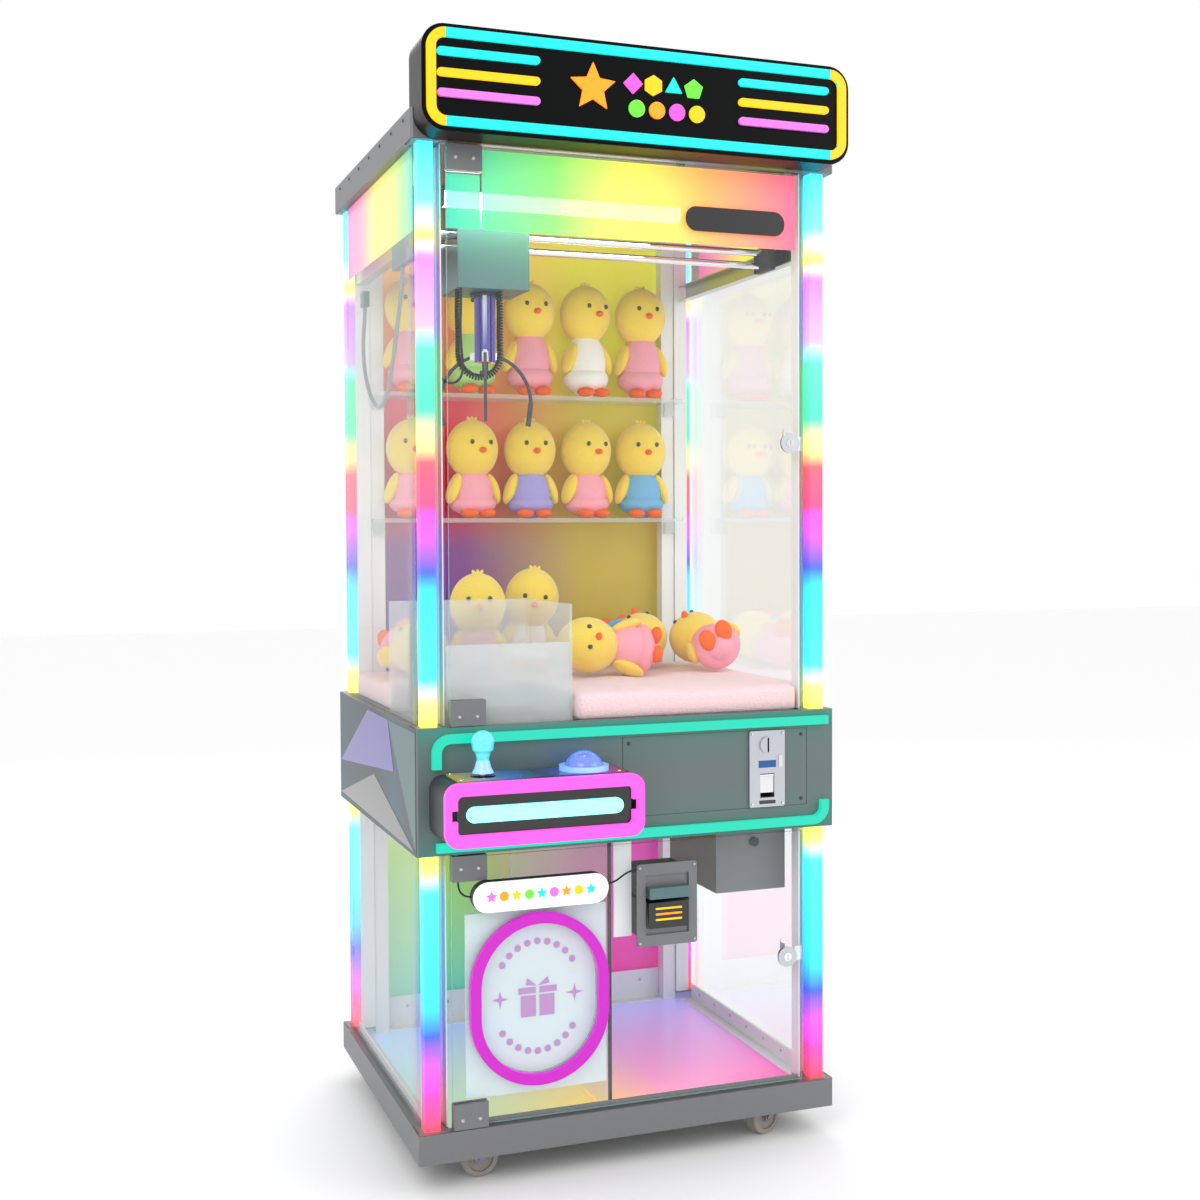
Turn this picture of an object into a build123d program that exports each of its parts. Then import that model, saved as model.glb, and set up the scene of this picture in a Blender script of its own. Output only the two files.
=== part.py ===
from build123d import *
import os
from math import acos, cos, radians, sin, tan

# Claw crane prize machine: steel and glass cabinet with a gantry crane, on castors.
#
# Millimetres, +Z up, front towards -Y. The origin is on the floor, at the centre of the
# footprint that the cabinet and its control box cover together.

os.makedirs("parts", exist_ok=True)

# ---------------------------------------------------------------- driving dimensions
cabinet_width = 720
cabinet_depth = 612
control_reach = 100  # control box and its light stand this far out of the front
skirt_clearance = 49  # floor to the bottom edge of the skirt
skirt_height = 47
lower_window = 433
console_height = 198
upper_window = 898
canopy_height = 47
sign_height = 158
sign_side_gap = 3  # sign box in from each side of the cabinet
sign_reach = 57  # sign face ahead of the cabinet front
sign_overlap = 21  # sign box back over the roof
sign_seat = 0.5  # shallow step in the roof that the sign box sits in

sheet = 3  # folded sheet steel
flange = 20  # inward lip that carries the glass
corner_radius = 4
post_size = 50
cover_wall = 3
led_size = 24
core_leg = 24
core_sheet = 2
glass_thickness = 6
glass_inset = 8  # side glass behind the outer face
door_glass_inset = 6
door_gap = 6  # door edge to post
piece_gap = 0.2  # painted or glued faces of separate pieces
running_gap = 0.05  # radial, pins in bores
hinge_offset = 8  # door edge to hinge axis
hinge_pin_radius = 4
clip_width = 56  # clamp on the hinge corner of each door

# ---------------------------------------------------------------- levels and outline
sign_width = cabinet_width - 2 * sign_side_gap
half_width = cabinet_width / 2
front_y = -(cabinet_depth + control_reach) / 2 + control_reach
rear_y = front_y + cabinet_depth
skirt_bottom = skirt_clearance
skirt_top = skirt_bottom + skirt_height
console_bottom = skirt_top + lower_window
console_top = console_bottom + console_height
canopy_bottom = console_top + upper_window
canopy_top = canopy_bottom + canopy_height
sign_bottom = canopy_bottom
sign_top = sign_bottom + sign_height
post_inside = half_width - post_size
door_edge = post_inside - door_gap
door_front = front_y + door_glass_inset
door_back = door_front + glass_thickness
hinge_x = -door_edge + hinge_offset
hinge_y = (door_front + door_back) / 2
gusset = post_size + core_sheet
windows = ((skirt_top, console_bottom), (console_top, canopy_bottom))


def block(x_span, y_span, z_span, mode=Mode.ADD):
    """Box between two x, two y and two z values."""
    spans = (x_span, y_span, z_span)
    with Locations(tuple(sum(span) / 2 for span in spans)):
        Box(*[span[1] - span[0] for span in spans], mode=mode)


def rod(start, direction, radius, length, mode=Mode.ADD):
    """Round bar from a point along a direction."""
    with BuildSketch(Plane(origin=start, z_dir=direction)) as section:
        Circle(radius)
    extrude(section.sketch, amount=length, mode=mode)


def dome_middle(radius, base_z, top_z):
    """Halfway point (distance from the axis, z) of a round cap centred on its axis."""
    height = top_z - base_z
    cap_radius = (radius**2 + height**2) / (2 * height)
    half_turn = acos((cap_radius - height) / cap_radius) / 2
    return cap_radius * sin(half_turn), top_z - cap_radius + cap_radius * cos(half_turn)


def corner_span(side, inner, outer):
    """Span between two distances from the middle plane, on the side +1 or -1."""
    return tuple(sorted((side * inner, side * outer)))


def end_span(end, inner, outer):
    """Y span between two distances in from the front (-1) or rear (+1) face."""
    edge = front_y if end < 0 else rear_y
    return tuple(sorted((edge - end * inner, edge - end * outer)))


corners = [(side, end) for end in (-1, 1) for side in (-1, 1)]

# ---------------------------------------------------------------- castors
wheel_radius = 30
wheel_width = 24
tread_radius = 4
axle_radius = 4
caster_trail = 15
fork_leg = 2.5
fork_gap = 1
fork_plate = 3.9
fork_plate_length = 34
fork_top = 65.9
race_bottom = 66
race_radius = 20
kingpin_radius = 5
kingpin_head_radius = 7
kingpin_bottom = 60.5
kingpin_head = 1.4
caster_plate = 60
caster_plate_thickness = 3
caster_inset_x = 95
caster_inset_y = 56
caster_headings = (0, 200, 15, 170)  # trail direction, degrees from +X
axle_end = wheel_width / 2 + fork_gap + fork_leg + 2

caster_stations = []
for (side, end), heading in zip(corners, caster_headings):
    x = side * (half_width - caster_inset_x)
    y = front_y + caster_inset_y if end < 0 else rear_y - caster_inset_y
    caster_stations.append((x, y, heading))

for number, (x, y, heading) in enumerate(caster_stations, start=1):
    trail_dir = (cos(radians(heading)), sin(radians(heading)), 0)
    axle_dir = (sin(radians(heading)), -cos(radians(heading)), 0)
    side_plane = Plane(origin=(x, y, 0), x_dir=trail_dir, z_dir=axle_dir)
    leg_offset = wheel_width / 2 + fork_gap
    half_plate = fork_plate_length / 2

    with BuildPart() as caster_fork:
        top_plane = Plane(origin=(x, y, fork_top - fork_plate), x_dir=trail_dir, z_dir=(0, 0, 1))
        with BuildSketch(top_plane):
            Rectangle(fork_plate_length, 2 * (leg_offset + fork_leg))
            Circle(kingpin_radius + running_gap, mode=Mode.SUBTRACT)
        extrude(amount=fork_plate)
        for plane_offset in (leg_offset, -leg_offset - fork_leg):
            with BuildSketch(side_plane.offset(plane_offset)):
                with BuildLine():
                    Polyline(
                        (-half_plate, fork_top),
                        (half_plate, fork_top),
                        (half_plate + 3, fork_top - 12),
                        (caster_trail + 7, wheel_radius - 3),
                        (caster_trail - 7, wheel_radius - 3),
                        (-half_plate, fork_top - 10),
                        close=True,
                    )
                make_face()
                with Locations((caster_trail, wheel_radius)):
                    Circle(8)
            extrude(amount=fork_leg)
        with BuildSketch(side_plane.offset(-axle_end)):
            with Locations((caster_trail, wheel_radius)):
                Circle(axle_radius)
        extrude(amount=2 * axle_end)
    caster_fork.part.label = f"caster_fork_{number}"
    export_step(caster_fork.part, f"parts/caster_fork_{number}.step")

    with BuildPart() as caster_wheel:
        with BuildSketch(side_plane.offset(-wheel_width / 2)):
            with Locations((caster_trail, wheel_radius)):
                Circle(wheel_radius)
        extrude(amount=wheel_width)
        fillet(caster_wheel.edges().filter_by(GeomType.CIRCLE), tread_radius)
        for plane_offset in (wheel_width / 2 - 3, -wheel_width / 2):
            with BuildSketch(side_plane.offset(plane_offset)):
                with Locations((caster_trail, wheel_radius)):
                    Circle(21)
                    Circle(10, mode=Mode.SUBTRACT)
            extrude(amount=3, mode=Mode.SUBTRACT)
        with BuildSketch(side_plane.offset(-wheel_width / 2)):
            with Locations((caster_trail, wheel_radius)):
                Circle(axle_radius + running_gap)
        extrude(amount=wheel_width, mode=Mode.SUBTRACT)
    caster_wheel.part.label = f"caster_wheel_{number}"
    export_step(caster_wheel.part, f"parts/caster_wheel_{number}.step")

# ---------------------------------------------------------------- base tray
floor_sheet = 3
floor_drop = 15  # floor panel below the skirt top
floor_top = skirt_top - floor_drop
floor_bottom = floor_top - floor_sheet + piece_gap
deck_plate_top = floor_top - floor_sheet
deck_plate_bottom = deck_plate_top - sheet
caster_plate_top = deck_plate_bottom - piece_gap
inside_x = half_width - sheet
flange_x = half_width - flange
stop_height = 10

with BuildPart() as base_tray:
    block((-half_width, half_width), (front_y, rear_y), (skirt_bottom, skirt_top))
    fillet(base_tray.edges().filter_by(Axis.Z), corner_radius)
    for z_span in ((skirt_bottom, deck_plate_bottom), (deck_plate_top, skirt_top - sheet)):
        block(
            (-inside_x, inside_x),
            (front_y + sheet, rear_y - sheet),
            z_span,
            mode=Mode.SUBTRACT,
        )
    block(
        (-flange_x, flange_x),
        (front_y + flange, rear_y - flange),
        (skirt_top - sheet, skirt_top),
        mode=Mode.SUBTRACT,
    )
    for side, end in corners:
        block(
            corner_span(side, half_width - gusset, flange_x),
            end_span(end, flange, gusset),
            (skirt_top - sheet, skirt_top),
        )
    block(
        (-door_edge + clip_width + 4, door_edge - 4),
        (door_back + 2, door_back + 2 + sheet),
        (skirt_top - sheet, skirt_top + stop_height),
    )
    rod(
        (hinge_x, hinge_y, skirt_top - sheet),
        (0, 0, 1),
        hinge_pin_radius + running_gap,
        sheet,
        mode=Mode.SUBTRACT,
    )
    for x, y, heading in caster_stations:
        with Locations((x, y, caster_plate_top - caster_plate_thickness / 2)):
            Box(caster_plate, caster_plate, caster_plate_thickness)
        rod((x, y, caster_plate_top), (0, 0, -1), race_radius, caster_plate_top - race_bottom)
        rod((x, y, caster_plate_top), (0, 0, -1), kingpin_radius, caster_plate_top - kingpin_bottom)
        rod((x, y, kingpin_bottom), (0, 0, 1), kingpin_head_radius, kingpin_head)
base_tray.part.label = "base_tray"
export_step(base_tray.part, "parts/base_tray.step")

with BuildPart() as floor_panel:
    block(
        (-inside_x + 2, inside_x - 2),
        (front_y + sheet + 2, rear_y - sheet - 2),
        (floor_bottom, floor_top),
    )
floor_panel.part.label = "floor_panel"
export_step(floor_panel.part, "parts/floor_panel.step")

# ---------------------------------------------------------------- inner frame
angle_leg = 22
side_angle_height = 29
rear_angle_height = 59
angle_end_gap = 6
upper_lock_height = 447  # above the console top
lower_lock_height = 216  # above the skirt top
upper_lock_x = door_edge - 23
lower_lock_x = door_edge - 29
strike_half = 12
strike_front = door_back + 6
strike_tip = door_edge - 8
upright_gap = 3  # from the post
upright_width = 26
upright_x = (post_inside - upright_gap - upright_width, post_inside - upright_gap)
upright_y = (48, 22)  # in from the rear face
bracket_x = (-29, 2)
bracket_front = 24
bracket_height = 160

with BuildPart() as inner_frame:
    for side, end in corners:
        for bottom, top in windows:
            block(
                corner_span(side, post_inside - core_sheet, post_inside - core_sheet + core_leg + 2),
                end_span(end, post_size, post_size + core_sheet),
                (bottom, top),
            )
            block(
                corner_span(side, post_inside - core_sheet, post_inside),
                end_span(end, post_size - core_leg, post_size + core_sheet),
                (bottom, top),
            )
    for lock_z in (skirt_top + lower_lock_height, console_top + upper_lock_height):
        strike_z = (lock_z - strike_half, lock_z + strike_half)
        block((strike_tip, post_inside), (strike_front, strike_front + core_sheet), strike_z)
        block(
            (post_inside - core_sheet, post_inside),
            (strike_front, front_y + post_size - core_leg),
            strike_z,
        )
    angle_y = (front_y + gusset + angle_end_gap, rear_y - gusset - angle_end_gap)
    for side in (-1, 1):
        block(
            corner_span(side, flange_x - angle_leg - core_sheet, flange_x - piece_gap),
            angle_y,
            (floor_top, floor_top + core_sheet),
        )
        block(
            corner_span(side, flange_x - core_sheet, flange_x - piece_gap),
            angle_y,
            (floor_top, floor_top + side_angle_height),
        )
    rear_x = post_inside - core_sheet - angle_leg - angle_end_gap
    block(
        (-rear_x, rear_x),
        end_span(1, flange + piece_gap, flange + angle_leg + core_sheet),
        (floor_top, floor_top + core_sheet),
    )
    block(
        (-rear_x, rear_x),
        end_span(1, flange + piece_gap, flange + core_sheet),
        (floor_top, floor_top + rear_angle_height),
    )
    for side in (-1, 1):
        for bottom, top in ((floor_top, console_bottom), (console_top, canopy_bottom)):
            block(
                corner_span(side, *upright_x),
                (rear_y - upright_y[0], rear_y - upright_y[1]),
                (bottom, top),
            )
    block(
        bracket_x,
        (front_y + bracket_front, front_y + bracket_front + sheet),
        (console_bottom - bracket_height, console_bottom - piece_gap),
    )
inner_frame.part.label = "inner_frame"
export_step(inner_frame.part, "parts/inner_frame.step")

# ---------------------------------------------------------------- posts, glass, back
with BuildPart() as led_bars:
    for side, end in corners:
        for bottom, top in windows:
            centre_in = post_size / 2
            block(
                corner_span(
                    side,
                    half_width - centre_in - led_size / 2,
                    half_width - centre_in + led_size / 2,
                ),
                end_span(end, centre_in - led_size / 2, centre_in + led_size / 2),
                (bottom, top),
            )
led_bars.part.label = "led_bars"
export_step(led_bars.part, "parts/led_bars.step")

with BuildPart() as post_covers:
    for side, end in corners:
        for bottom, top in windows:
            block(
                corner_span(side, post_inside, half_width),
                end_span(end, 0, post_size),
                (bottom, top),
            )
    fillet(post_covers.edges().filter_by(Axis.Z), corner_radius)
    for side, end in corners:
        for bottom, top in windows:
            block(
                corner_span(side, post_inside + cover_wall, half_width - cover_wall),
                end_span(end, cover_wall, post_size - cover_wall),
                (bottom, top),
                mode=Mode.SUBTRACT,
            )
post_covers.part.label = "post_covers"
export_step(post_covers.part, "parts/post_covers.step")

glass_outer = half_width - glass_inset
glass_inner = glass_outer - glass_thickness
with BuildPart() as side_glass:
    for side in (-1, 1):
        for bottom, top in windows:
            block(
                corner_span(side, glass_inner, glass_outer),
                (front_y + post_size + 1, rear_y - post_size - 1),
                (bottom, top),
            )
side_glass.part.label = "side_glass"
export_step(side_glass.part, "parts/side_glass.step")

back_inset = 6
back_thickness = 4
back_front = rear_y - back_inset - back_thickness
with BuildPart() as back_panels:
    for bottom, top in windows:
        block(
            (-post_inside + 1, post_inside - 1),
            (back_front, rear_y - back_inset),
            (bottom, top),
        )
back_panels.part.label = "back_panels"
export_step(back_panels.part, "parts/back_panels.step")

# ---------------------------------------------------------------- console
chute_left = -post_inside + 8
chute_right = -97
chute_front = front_y + 42
chute_rear = front_y + 268
duct_wall = 2
coin_left = -22
coin_right = 310
coin_bottom = console_bottom + 39
coin_top = coin_bottom + 130
coin_ledge = 8
coin_sheet = 1.5
acceptor_x = 234
acceptor_z = console_bottom + 104
cable_hole = (-200, -160)
control_left = -340
control_right = -23
control_bottom = console_bottom + 29
control_height = 97
control_top = control_bottom + control_height
control_wall = 2.5
control_corner = 22

with BuildPart() as console_shell:
    block((-half_width, half_width), (front_y, rear_y), (console_bottom, console_top))
    fillet(console_shell.edges().filter_by(Axis.Z), corner_radius)
    block(
        (-inside_x, inside_x),
        (front_y + sheet, rear_y - sheet),
        (console_bottom + sheet, console_top - sheet),
        mode=Mode.SUBTRACT,
    )
    block(
        (-flange_x, flange_x),
        (front_y + flange, rear_y - flange),
        (console_top - sheet, console_top),
        mode=Mode.SUBTRACT,
    )
    for side, end in corners:
        block(
            corner_span(side, half_width - gusset, flange_x),
            end_span(end, flange, gusset),
            (console_top - sheet, console_top),
        )
    block(
        (chute_left, chute_right),
        (chute_front, chute_rear),
        (console_bottom, console_bottom + sheet),
        mode=Mode.SUBTRACT,
    )
    block(
        (coin_left, coin_right),
        (front_y, front_y + coin_sheet),
        (coin_bottom, coin_top),
        mode=Mode.SUBTRACT,
    )
    block(
        (coin_left + coin_ledge, coin_right - coin_ledge),
        (front_y, front_y + sheet),
        (coin_bottom + coin_ledge, coin_top - coin_ledge),
        mode=Mode.SUBTRACT,
    )
    block(
        cable_hole,
        (front_y, front_y + sheet),
        (control_bottom + 30, control_bottom + 60),
        mode=Mode.SUBTRACT,
    )
    for z in (console_bottom, console_top - sheet):
        rod(
            (hinge_x, hinge_y, z),
            (0, 0, 1),
            hinge_pin_radius + running_gap,
            sheet,
            mode=Mode.SUBTRACT,
        )
console_shell.part.label = "console_shell"
export_step(console_shell.part, "parts/console_shell.step")

deck_top = console_top - sheet
with BuildPart() as playfield_deck:
    block(
        (-inside_x + 7, inside_x - 7),
        (front_y + flange - 8, rear_y - flange + 8),
        (deck_top - sheet, deck_top),
    )
    block(
        (chute_left - duct_wall, chute_right + duct_wall),
        (chute_front - duct_wall, chute_rear + duct_wall),
        (console_bottom + sheet + piece_gap, deck_top),
    )
    block(
        (chute_left, chute_right),
        (chute_front, chute_rear),
        (console_bottom, deck_top),
        mode=Mode.SUBTRACT,
    )
playfield_deck.part.label = "playfield_deck"
export_step(playfield_deck.part, "parts/playfield_deck.step")

# ---------------------------------------------------------------- lights on the console
neon_width = 14
neon_depth = 10
neon_bend = 22
light_frame_width = 19
light_frame_depth = 12
box_front = front_y - control_reach + light_frame_depth
light_bar_height = 24
light_bar = (control_left + 34, control_right - 33)
light_bar_z = control_bottom + control_height / 2
notch_height = 17
notch_depth = 9
control_width = control_right - control_left
control_x = (control_left + control_right) / 2
control_z = (control_bottom + control_top) / 2
face_plane = Plane(origin=(0, front_y, 0), x_dir=(1, 0, 0), z_dir=(0, -1, 0))
box_plane = Plane(origin=(0, box_front, 0), x_dir=(1, 0, 0), z_dir=(0, -1, 0))

with BuildPart() as console_neon:
    with BuildSketch(face_plane):
        with BuildLine() as upper_strip:
            FilletPolyline(
                (-half_width + 31, control_top + 9),
                (-half_width + 31, console_bottom + 181),
                (half_width - 14, console_bottom + 181),
                radius=neon_bend,
            )
        trace(upper_strip.line, line_width=neon_width)
        with BuildLine() as lower_strip:
            FilletPolyline(
                (-half_width + 30, console_bottom + 13),
                (half_width - 20, console_bottom + 13),
                (half_width - 20, console_bottom + 46),
                radius=neon_bend,
            )
        trace(lower_strip.line, line_width=neon_width)
    extrude(amount=neon_depth)
    with BuildSketch(box_plane):
        with Locations((control_x, control_z)):
            RectangleRounded(control_width, control_height, control_corner)
            RectangleRounded(
                control_width - 2 * light_frame_width,
                control_height - 2 * light_frame_width,
                control_corner - 14,
                mode=Mode.SUBTRACT,
            )
        for x in (control_left + light_frame_width, control_right - light_frame_width):
            with Locations((x, control_z)):
                Rectangle(2 * notch_depth, notch_height, mode=Mode.SUBTRACT)
    extrude(amount=light_frame_depth)
    with BuildSketch(box_plane):
        with Locations((sum(light_bar) / 2, light_bar_z)):
            SlotOverall(light_bar[1] - light_bar[0], light_bar_height)
    extrude(amount=light_frame_depth / 2)
console_neon.part.label = "console_neon"
export_step(console_neon.part, "parts/console_neon.step")

# ---------------------------------------------------------------- control box
panel_sheet = 2
stick_x = control_left + 72
stick_y = front_y - 49
stick_pivot_z = control_top - 15
stick_hole_radius = 20
button_x = control_right - 81
button_y = front_y - 46
button_stem_radius = 12
button_radius = 30
button_height = 25
button_travel = 4
button_bezel_radius = 39
guide_length = 14
bearing_width = 6
bearing_half_depth = 7
gimbal_half_x = 18
gimbal_half_y = 15
gimbal_wall = 5
gimbal_half_z = 5
trunnion_radius = 3
cross_pin_radius = 2.5
shaft_radius = 5

with BuildPart() as control_box:
    with BuildSketch(face_plane):
        with Locations((control_x, control_z)):
            RectangleRounded(control_width, control_height, control_corner)
            RectangleRounded(
                control_width - 2 * control_wall,
                control_height - 2 * control_wall,
                control_corner - control_wall,
                mode=Mode.SUBTRACT,
            )
    extrude(amount=front_y - box_front)
    rod(
        (button_x, button_y, control_top - control_wall),
        (0, 0, -1),
        button_stem_radius + 4,
        guide_length,
    )
    rod(
        (button_x, button_y, control_top),
        (0, 0, -1),
        button_stem_radius + running_gap,
        control_wall + guide_length,
        mode=Mode.SUBTRACT,
    )
    rod(
        (stick_x, stick_y, control_top),
        (0, 0, -1),
        stick_hole_radius,
        control_wall,
        mode=Mode.SUBTRACT,
    )
    for side in (-1, 1):
        inner = stick_x + side * (gimbal_half_x + 2)
        block(
            tuple(sorted((inner, inner + side * bearing_width))),
            (stick_y - bearing_half_depth, stick_y + bearing_half_depth),
            (stick_pivot_z - bearing_half_depth, control_top - control_wall),
        )
    rod(
        (stick_x - gimbal_half_x - 2 - bearing_width, stick_y, stick_pivot_z),
        (1, 0, 0),
        trunnion_radius + running_gap,
        2 * (gimbal_half_x + 2 + bearing_width),
        mode=Mode.SUBTRACT,
    )
control_box.part.label = "control_box"
export_step(control_box.part, "parts/control_box.step")

with BuildPart() as control_panels:
    with BuildSketch(Plane.XY.offset(control_top)):
        with Locations((control_x, (box_front + front_y) / 2)):
            RectangleRounded(control_width - 2 * control_corner - 4, front_y - box_front - 10, 6)
        with Locations((stick_x, stick_y)):
            Circle(stick_hole_radius, mode=Mode.SUBTRACT)
        with Locations((button_x, button_y)):
            Circle(button_stem_radius + 1, mode=Mode.SUBTRACT)
    extrude(amount=panel_sheet)
    bezel_z = control_top + panel_sheet + piece_gap
    with BuildSketch(Plane.XY.offset(bezel_z)):
        with Locations((button_x, button_y)):
            Circle(button_bezel_radius)
            Circle(button_radius + 1, mode=Mode.SUBTRACT)
    extrude(amount=8)
    with BuildSketch(box_plane):
        with Locations((control_x, control_z)):
            RectangleRounded(
                control_width - 2 * light_frame_width - 1,
                control_height - 2 * light_frame_width - 1,
                control_corner - 15,
            )
        with Locations((sum(light_bar) / 2, light_bar_z)):
            SlotOverall(light_bar[1] - light_bar[0] + 1, light_bar_height + 1, mode=Mode.SUBTRACT)
    extrude(amount=3)
control_panels.part.label = "control_panels"
export_step(control_panels.part, "parts/control_panels.step")

with BuildPart() as joystick_gimbal:
    with Locations((stick_x, stick_y, stick_pivot_z)):
        Box(2 * gimbal_half_x, 2 * gimbal_half_y, 2 * gimbal_half_z)
        Box(
            2 * (gimbal_half_x - gimbal_wall),
            2 * (gimbal_half_y - gimbal_wall),
            2 * gimbal_half_z,
            mode=Mode.SUBTRACT,
        )
    for side in (-1, 1):
        start = (stick_x + side * (gimbal_half_x - 1), stick_y, stick_pivot_z)
        rod(start, (side, 0, 0), trunnion_radius, 1 + 2 + bearing_width - 1)
    rod(
        (stick_x, stick_y - gimbal_half_y, stick_pivot_z),
        (0, 1, 0),
        cross_pin_radius + running_gap,
        2 * gimbal_half_y,
        mode=Mode.SUBTRACT,
    )
joystick_gimbal.part.label = "joystick_gimbal"
export_step(joystick_gimbal.part, "parts/joystick_gimbal.step")

knob_top = control_top + 72
knob_radius = 18
knob_middle = dome_middle(knob_radius, control_top + 54, knob_top)
with BuildPart() as joystick:
    with BuildSketch(Plane.XZ.offset(-stick_y)):
        with BuildLine():
            Polyline(
                (stick_x, stick_pivot_z - 30),
                (stick_x + shaft_radius, stick_pivot_z - 30),
                (stick_x + shaft_radius, control_top + 12),
                (stick_x + 17, control_top + 7.5),
                (stick_x + 13, control_top + 15),
                (stick_x + 9.5, control_top + 28),
                (stick_x + 12, control_top + 38),
                (stick_x + knob_radius - 2, control_top + 42),
                (stick_x + knob_radius, control_top + 54),
            )
            ThreePointArc(
                (stick_x + knob_radius, control_top + 54),
                (stick_x + knob_middle[0], knob_middle[1]),
                (stick_x, knob_top),
            )
            Line((stick_x, knob_top), (stick_x, stick_pivot_z - 30))
        make_face()
    revolve(axis=Axis((stick_x, stick_y, 0), (0, 0, 1)))
    rod(
        (stick_x, stick_y - gimbal_half_y + 0.5, stick_pivot_z),
        (0, 1, 0),
        cross_pin_radius,
        2 * gimbal_half_y - 1,
    )
joystick.part.label = "joystick"
export_step(joystick.part, "parts/joystick.step")

button_base = control_top + panel_sheet + button_travel + 1
button_middle = dome_middle(button_radius, button_base + 4, button_base + button_height)
with BuildPart() as push_button:
    with BuildSketch(Plane.XZ.offset(-button_y)):
        with BuildLine():
            Polyline(
                (button_x, button_base - 25),
                (button_x + button_stem_radius, button_base - 25),
                (button_x + button_stem_radius, button_base),
                (button_x + button_radius, button_base),
                (button_x + button_radius, button_base + 4),
            )
            ThreePointArc(
                (button_x + button_radius, button_base + 4),
                (button_x + button_middle[0], button_middle[1]),
                (button_x, button_base + button_height),
            )
            Line((button_x, button_base + button_height), (button_x, button_base - 25))
        make_face()
    revolve(axis=Axis((button_x, button_y, 0), (0, 0, 1)))
push_button.part.label = "push_button"
export_step(push_button.part, "parts/push_button.step")

# ---------------------------------------------------------------- coin acceptor
acceptor_width = 65
acceptor_height = 127
acceptor_plate = 5
acceptor_body_width = 50
acceptor_body_height = 108
acceptor_body_depth = 70
boss_radius = 14
boss_height = 4
boss_z = acceptor_z + 40
coin_slot_width = 3
coin_slot_length = 24
display_z = acceptor_z + 8
cup_half_width = 13
cup_top = acceptor_z - 8
cup_bottom = acceptor_z - 48
cup_depth = 24
return_flap_gap = 0.6
return_pin_radius = 1.5

with BuildPart() as coin_panel:
    block(
        (coin_left + 1, coin_right - 1),
        (front_y, front_y + coin_sheet - piece_gap),
        (coin_bottom + 1, coin_top - 1),
    )
    block(
        (acceptor_x - acceptor_body_width / 2 - 1, acceptor_x + acceptor_body_width / 2 + 1),
        (front_y, front_y + coin_sheet),
        (acceptor_z - acceptor_body_height / 2 - 1, acceptor_z + acceptor_body_height / 2 + 1),
        mode=Mode.SUBTRACT,
    )
coin_panel.part.label = "coin_panel"
export_step(coin_panel.part, "parts/coin_panel.step")

flap_axis_y = front_y - 2
flap_axis_z = cup_top - 3
with BuildPart() as coin_acceptor:
    with BuildSketch(face_plane):
        with Locations((acceptor_x, acceptor_z)):
            RectangleRounded(acceptor_width, acceptor_height, 3)
    extrude(amount=acceptor_plate)
    block(
        (acceptor_x - acceptor_body_width / 2, acceptor_x + acceptor_body_width / 2),
        (front_y, front_y + acceptor_body_depth),
        (acceptor_z - acceptor_body_height / 2, acceptor_z + acceptor_body_height / 2),
    )
    rod((acceptor_x, front_y, boss_z), (0, -1, 0), boss_radius, acceptor_plate + boss_height)
    block(
        (acceptor_x - coin_slot_width / 2, acceptor_x + coin_slot_width / 2),
        (front_y - acceptor_plate - boss_height, front_y + 30),
        (boss_z - coin_slot_length / 2, boss_z + coin_slot_length / 2),
        mode=Mode.SUBTRACT,
    )
    block(
        (acceptor_x - 16, acceptor_x + 16),
        (front_y - acceptor_plate, front_y - acceptor_plate + 1.5),
        (display_z - 6, display_z + 6),
        mode=Mode.SUBTRACT,
    )
    block(
        (acceptor_x - cup_half_width, acceptor_x + cup_half_width),
        (front_y - acceptor_plate, front_y + cup_depth),
        (cup_bottom, cup_top),
        mode=Mode.SUBTRACT,
    )
    rod(
        (acceptor_x - cup_half_width - 4, flap_axis_y, flap_axis_z),
        (1, 0, 0),
        return_pin_radius + running_gap,
        2 * cup_half_width + 8,
        mode=Mode.SUBTRACT,
    )
coin_acceptor.part.label = "coin_acceptor"
export_step(coin_acceptor.part, "parts/coin_acceptor.step")

with BuildPart() as coin_return_flap:
    block(
        (acceptor_x - cup_half_width + return_flap_gap, acceptor_x + cup_half_width - return_flap_gap),
        (flap_axis_y - 0.8, flap_axis_y + 0.8),
        (cup_bottom + 8, flap_axis_z),
    )
    rod(
        (acceptor_x - cup_half_width + return_flap_gap, flap_axis_y, flap_axis_z),
        (1, 0, 0),
        2.2,
        2 * (cup_half_width - return_flap_gap),
    )
    rod(
        (acceptor_x - cup_half_width - 3.5, flap_axis_y, flap_axis_z),
        (1, 0, 0),
        return_pin_radius,
        2 * cup_half_width + 7,
    )
coin_return_flap.part.label = "coin_return_flap"
export_step(coin_return_flap.part, "parts/coin_return_flap.step")

# ---------------------------------------------------------------- canopy and sign
with BuildPart() as top_frame:
    block((-half_width, half_width), (front_y, rear_y), (canopy_bottom, canopy_top))
    fillet(top_frame.edges().filter_by(Axis.Z), corner_radius)
    block(
        (-inside_x, inside_x),
        (front_y + sheet, rear_y - sheet),
        (canopy_bottom + sheet, canopy_top - sheet),
        mode=Mode.SUBTRACT,
    )
    block(
        (-flange_x, flange_x),
        (front_y + flange, rear_y - flange),
        (canopy_bottom, canopy_bottom + sheet),
        mode=Mode.SUBTRACT,
    )
    for side, end in corners:
        block(
            corner_span(side, half_width - gusset, flange_x),
            end_span(end, flange, gusset),
            (canopy_bottom, canopy_bottom + sheet),
        )
    rod(
        (hinge_x, hinge_y, canopy_bottom),
        (0, 0, 1),
        hinge_pin_radius + running_gap,
        sheet,
        mode=Mode.SUBTRACT,
    )
    block(
        (-half_width, half_width),
        (front_y, front_y + sign_overlap + piece_gap),
        (canopy_top - sign_seat, canopy_top),
        mode=Mode.SUBTRACT,
    )
top_frame.part.label = "top_frame"
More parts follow.
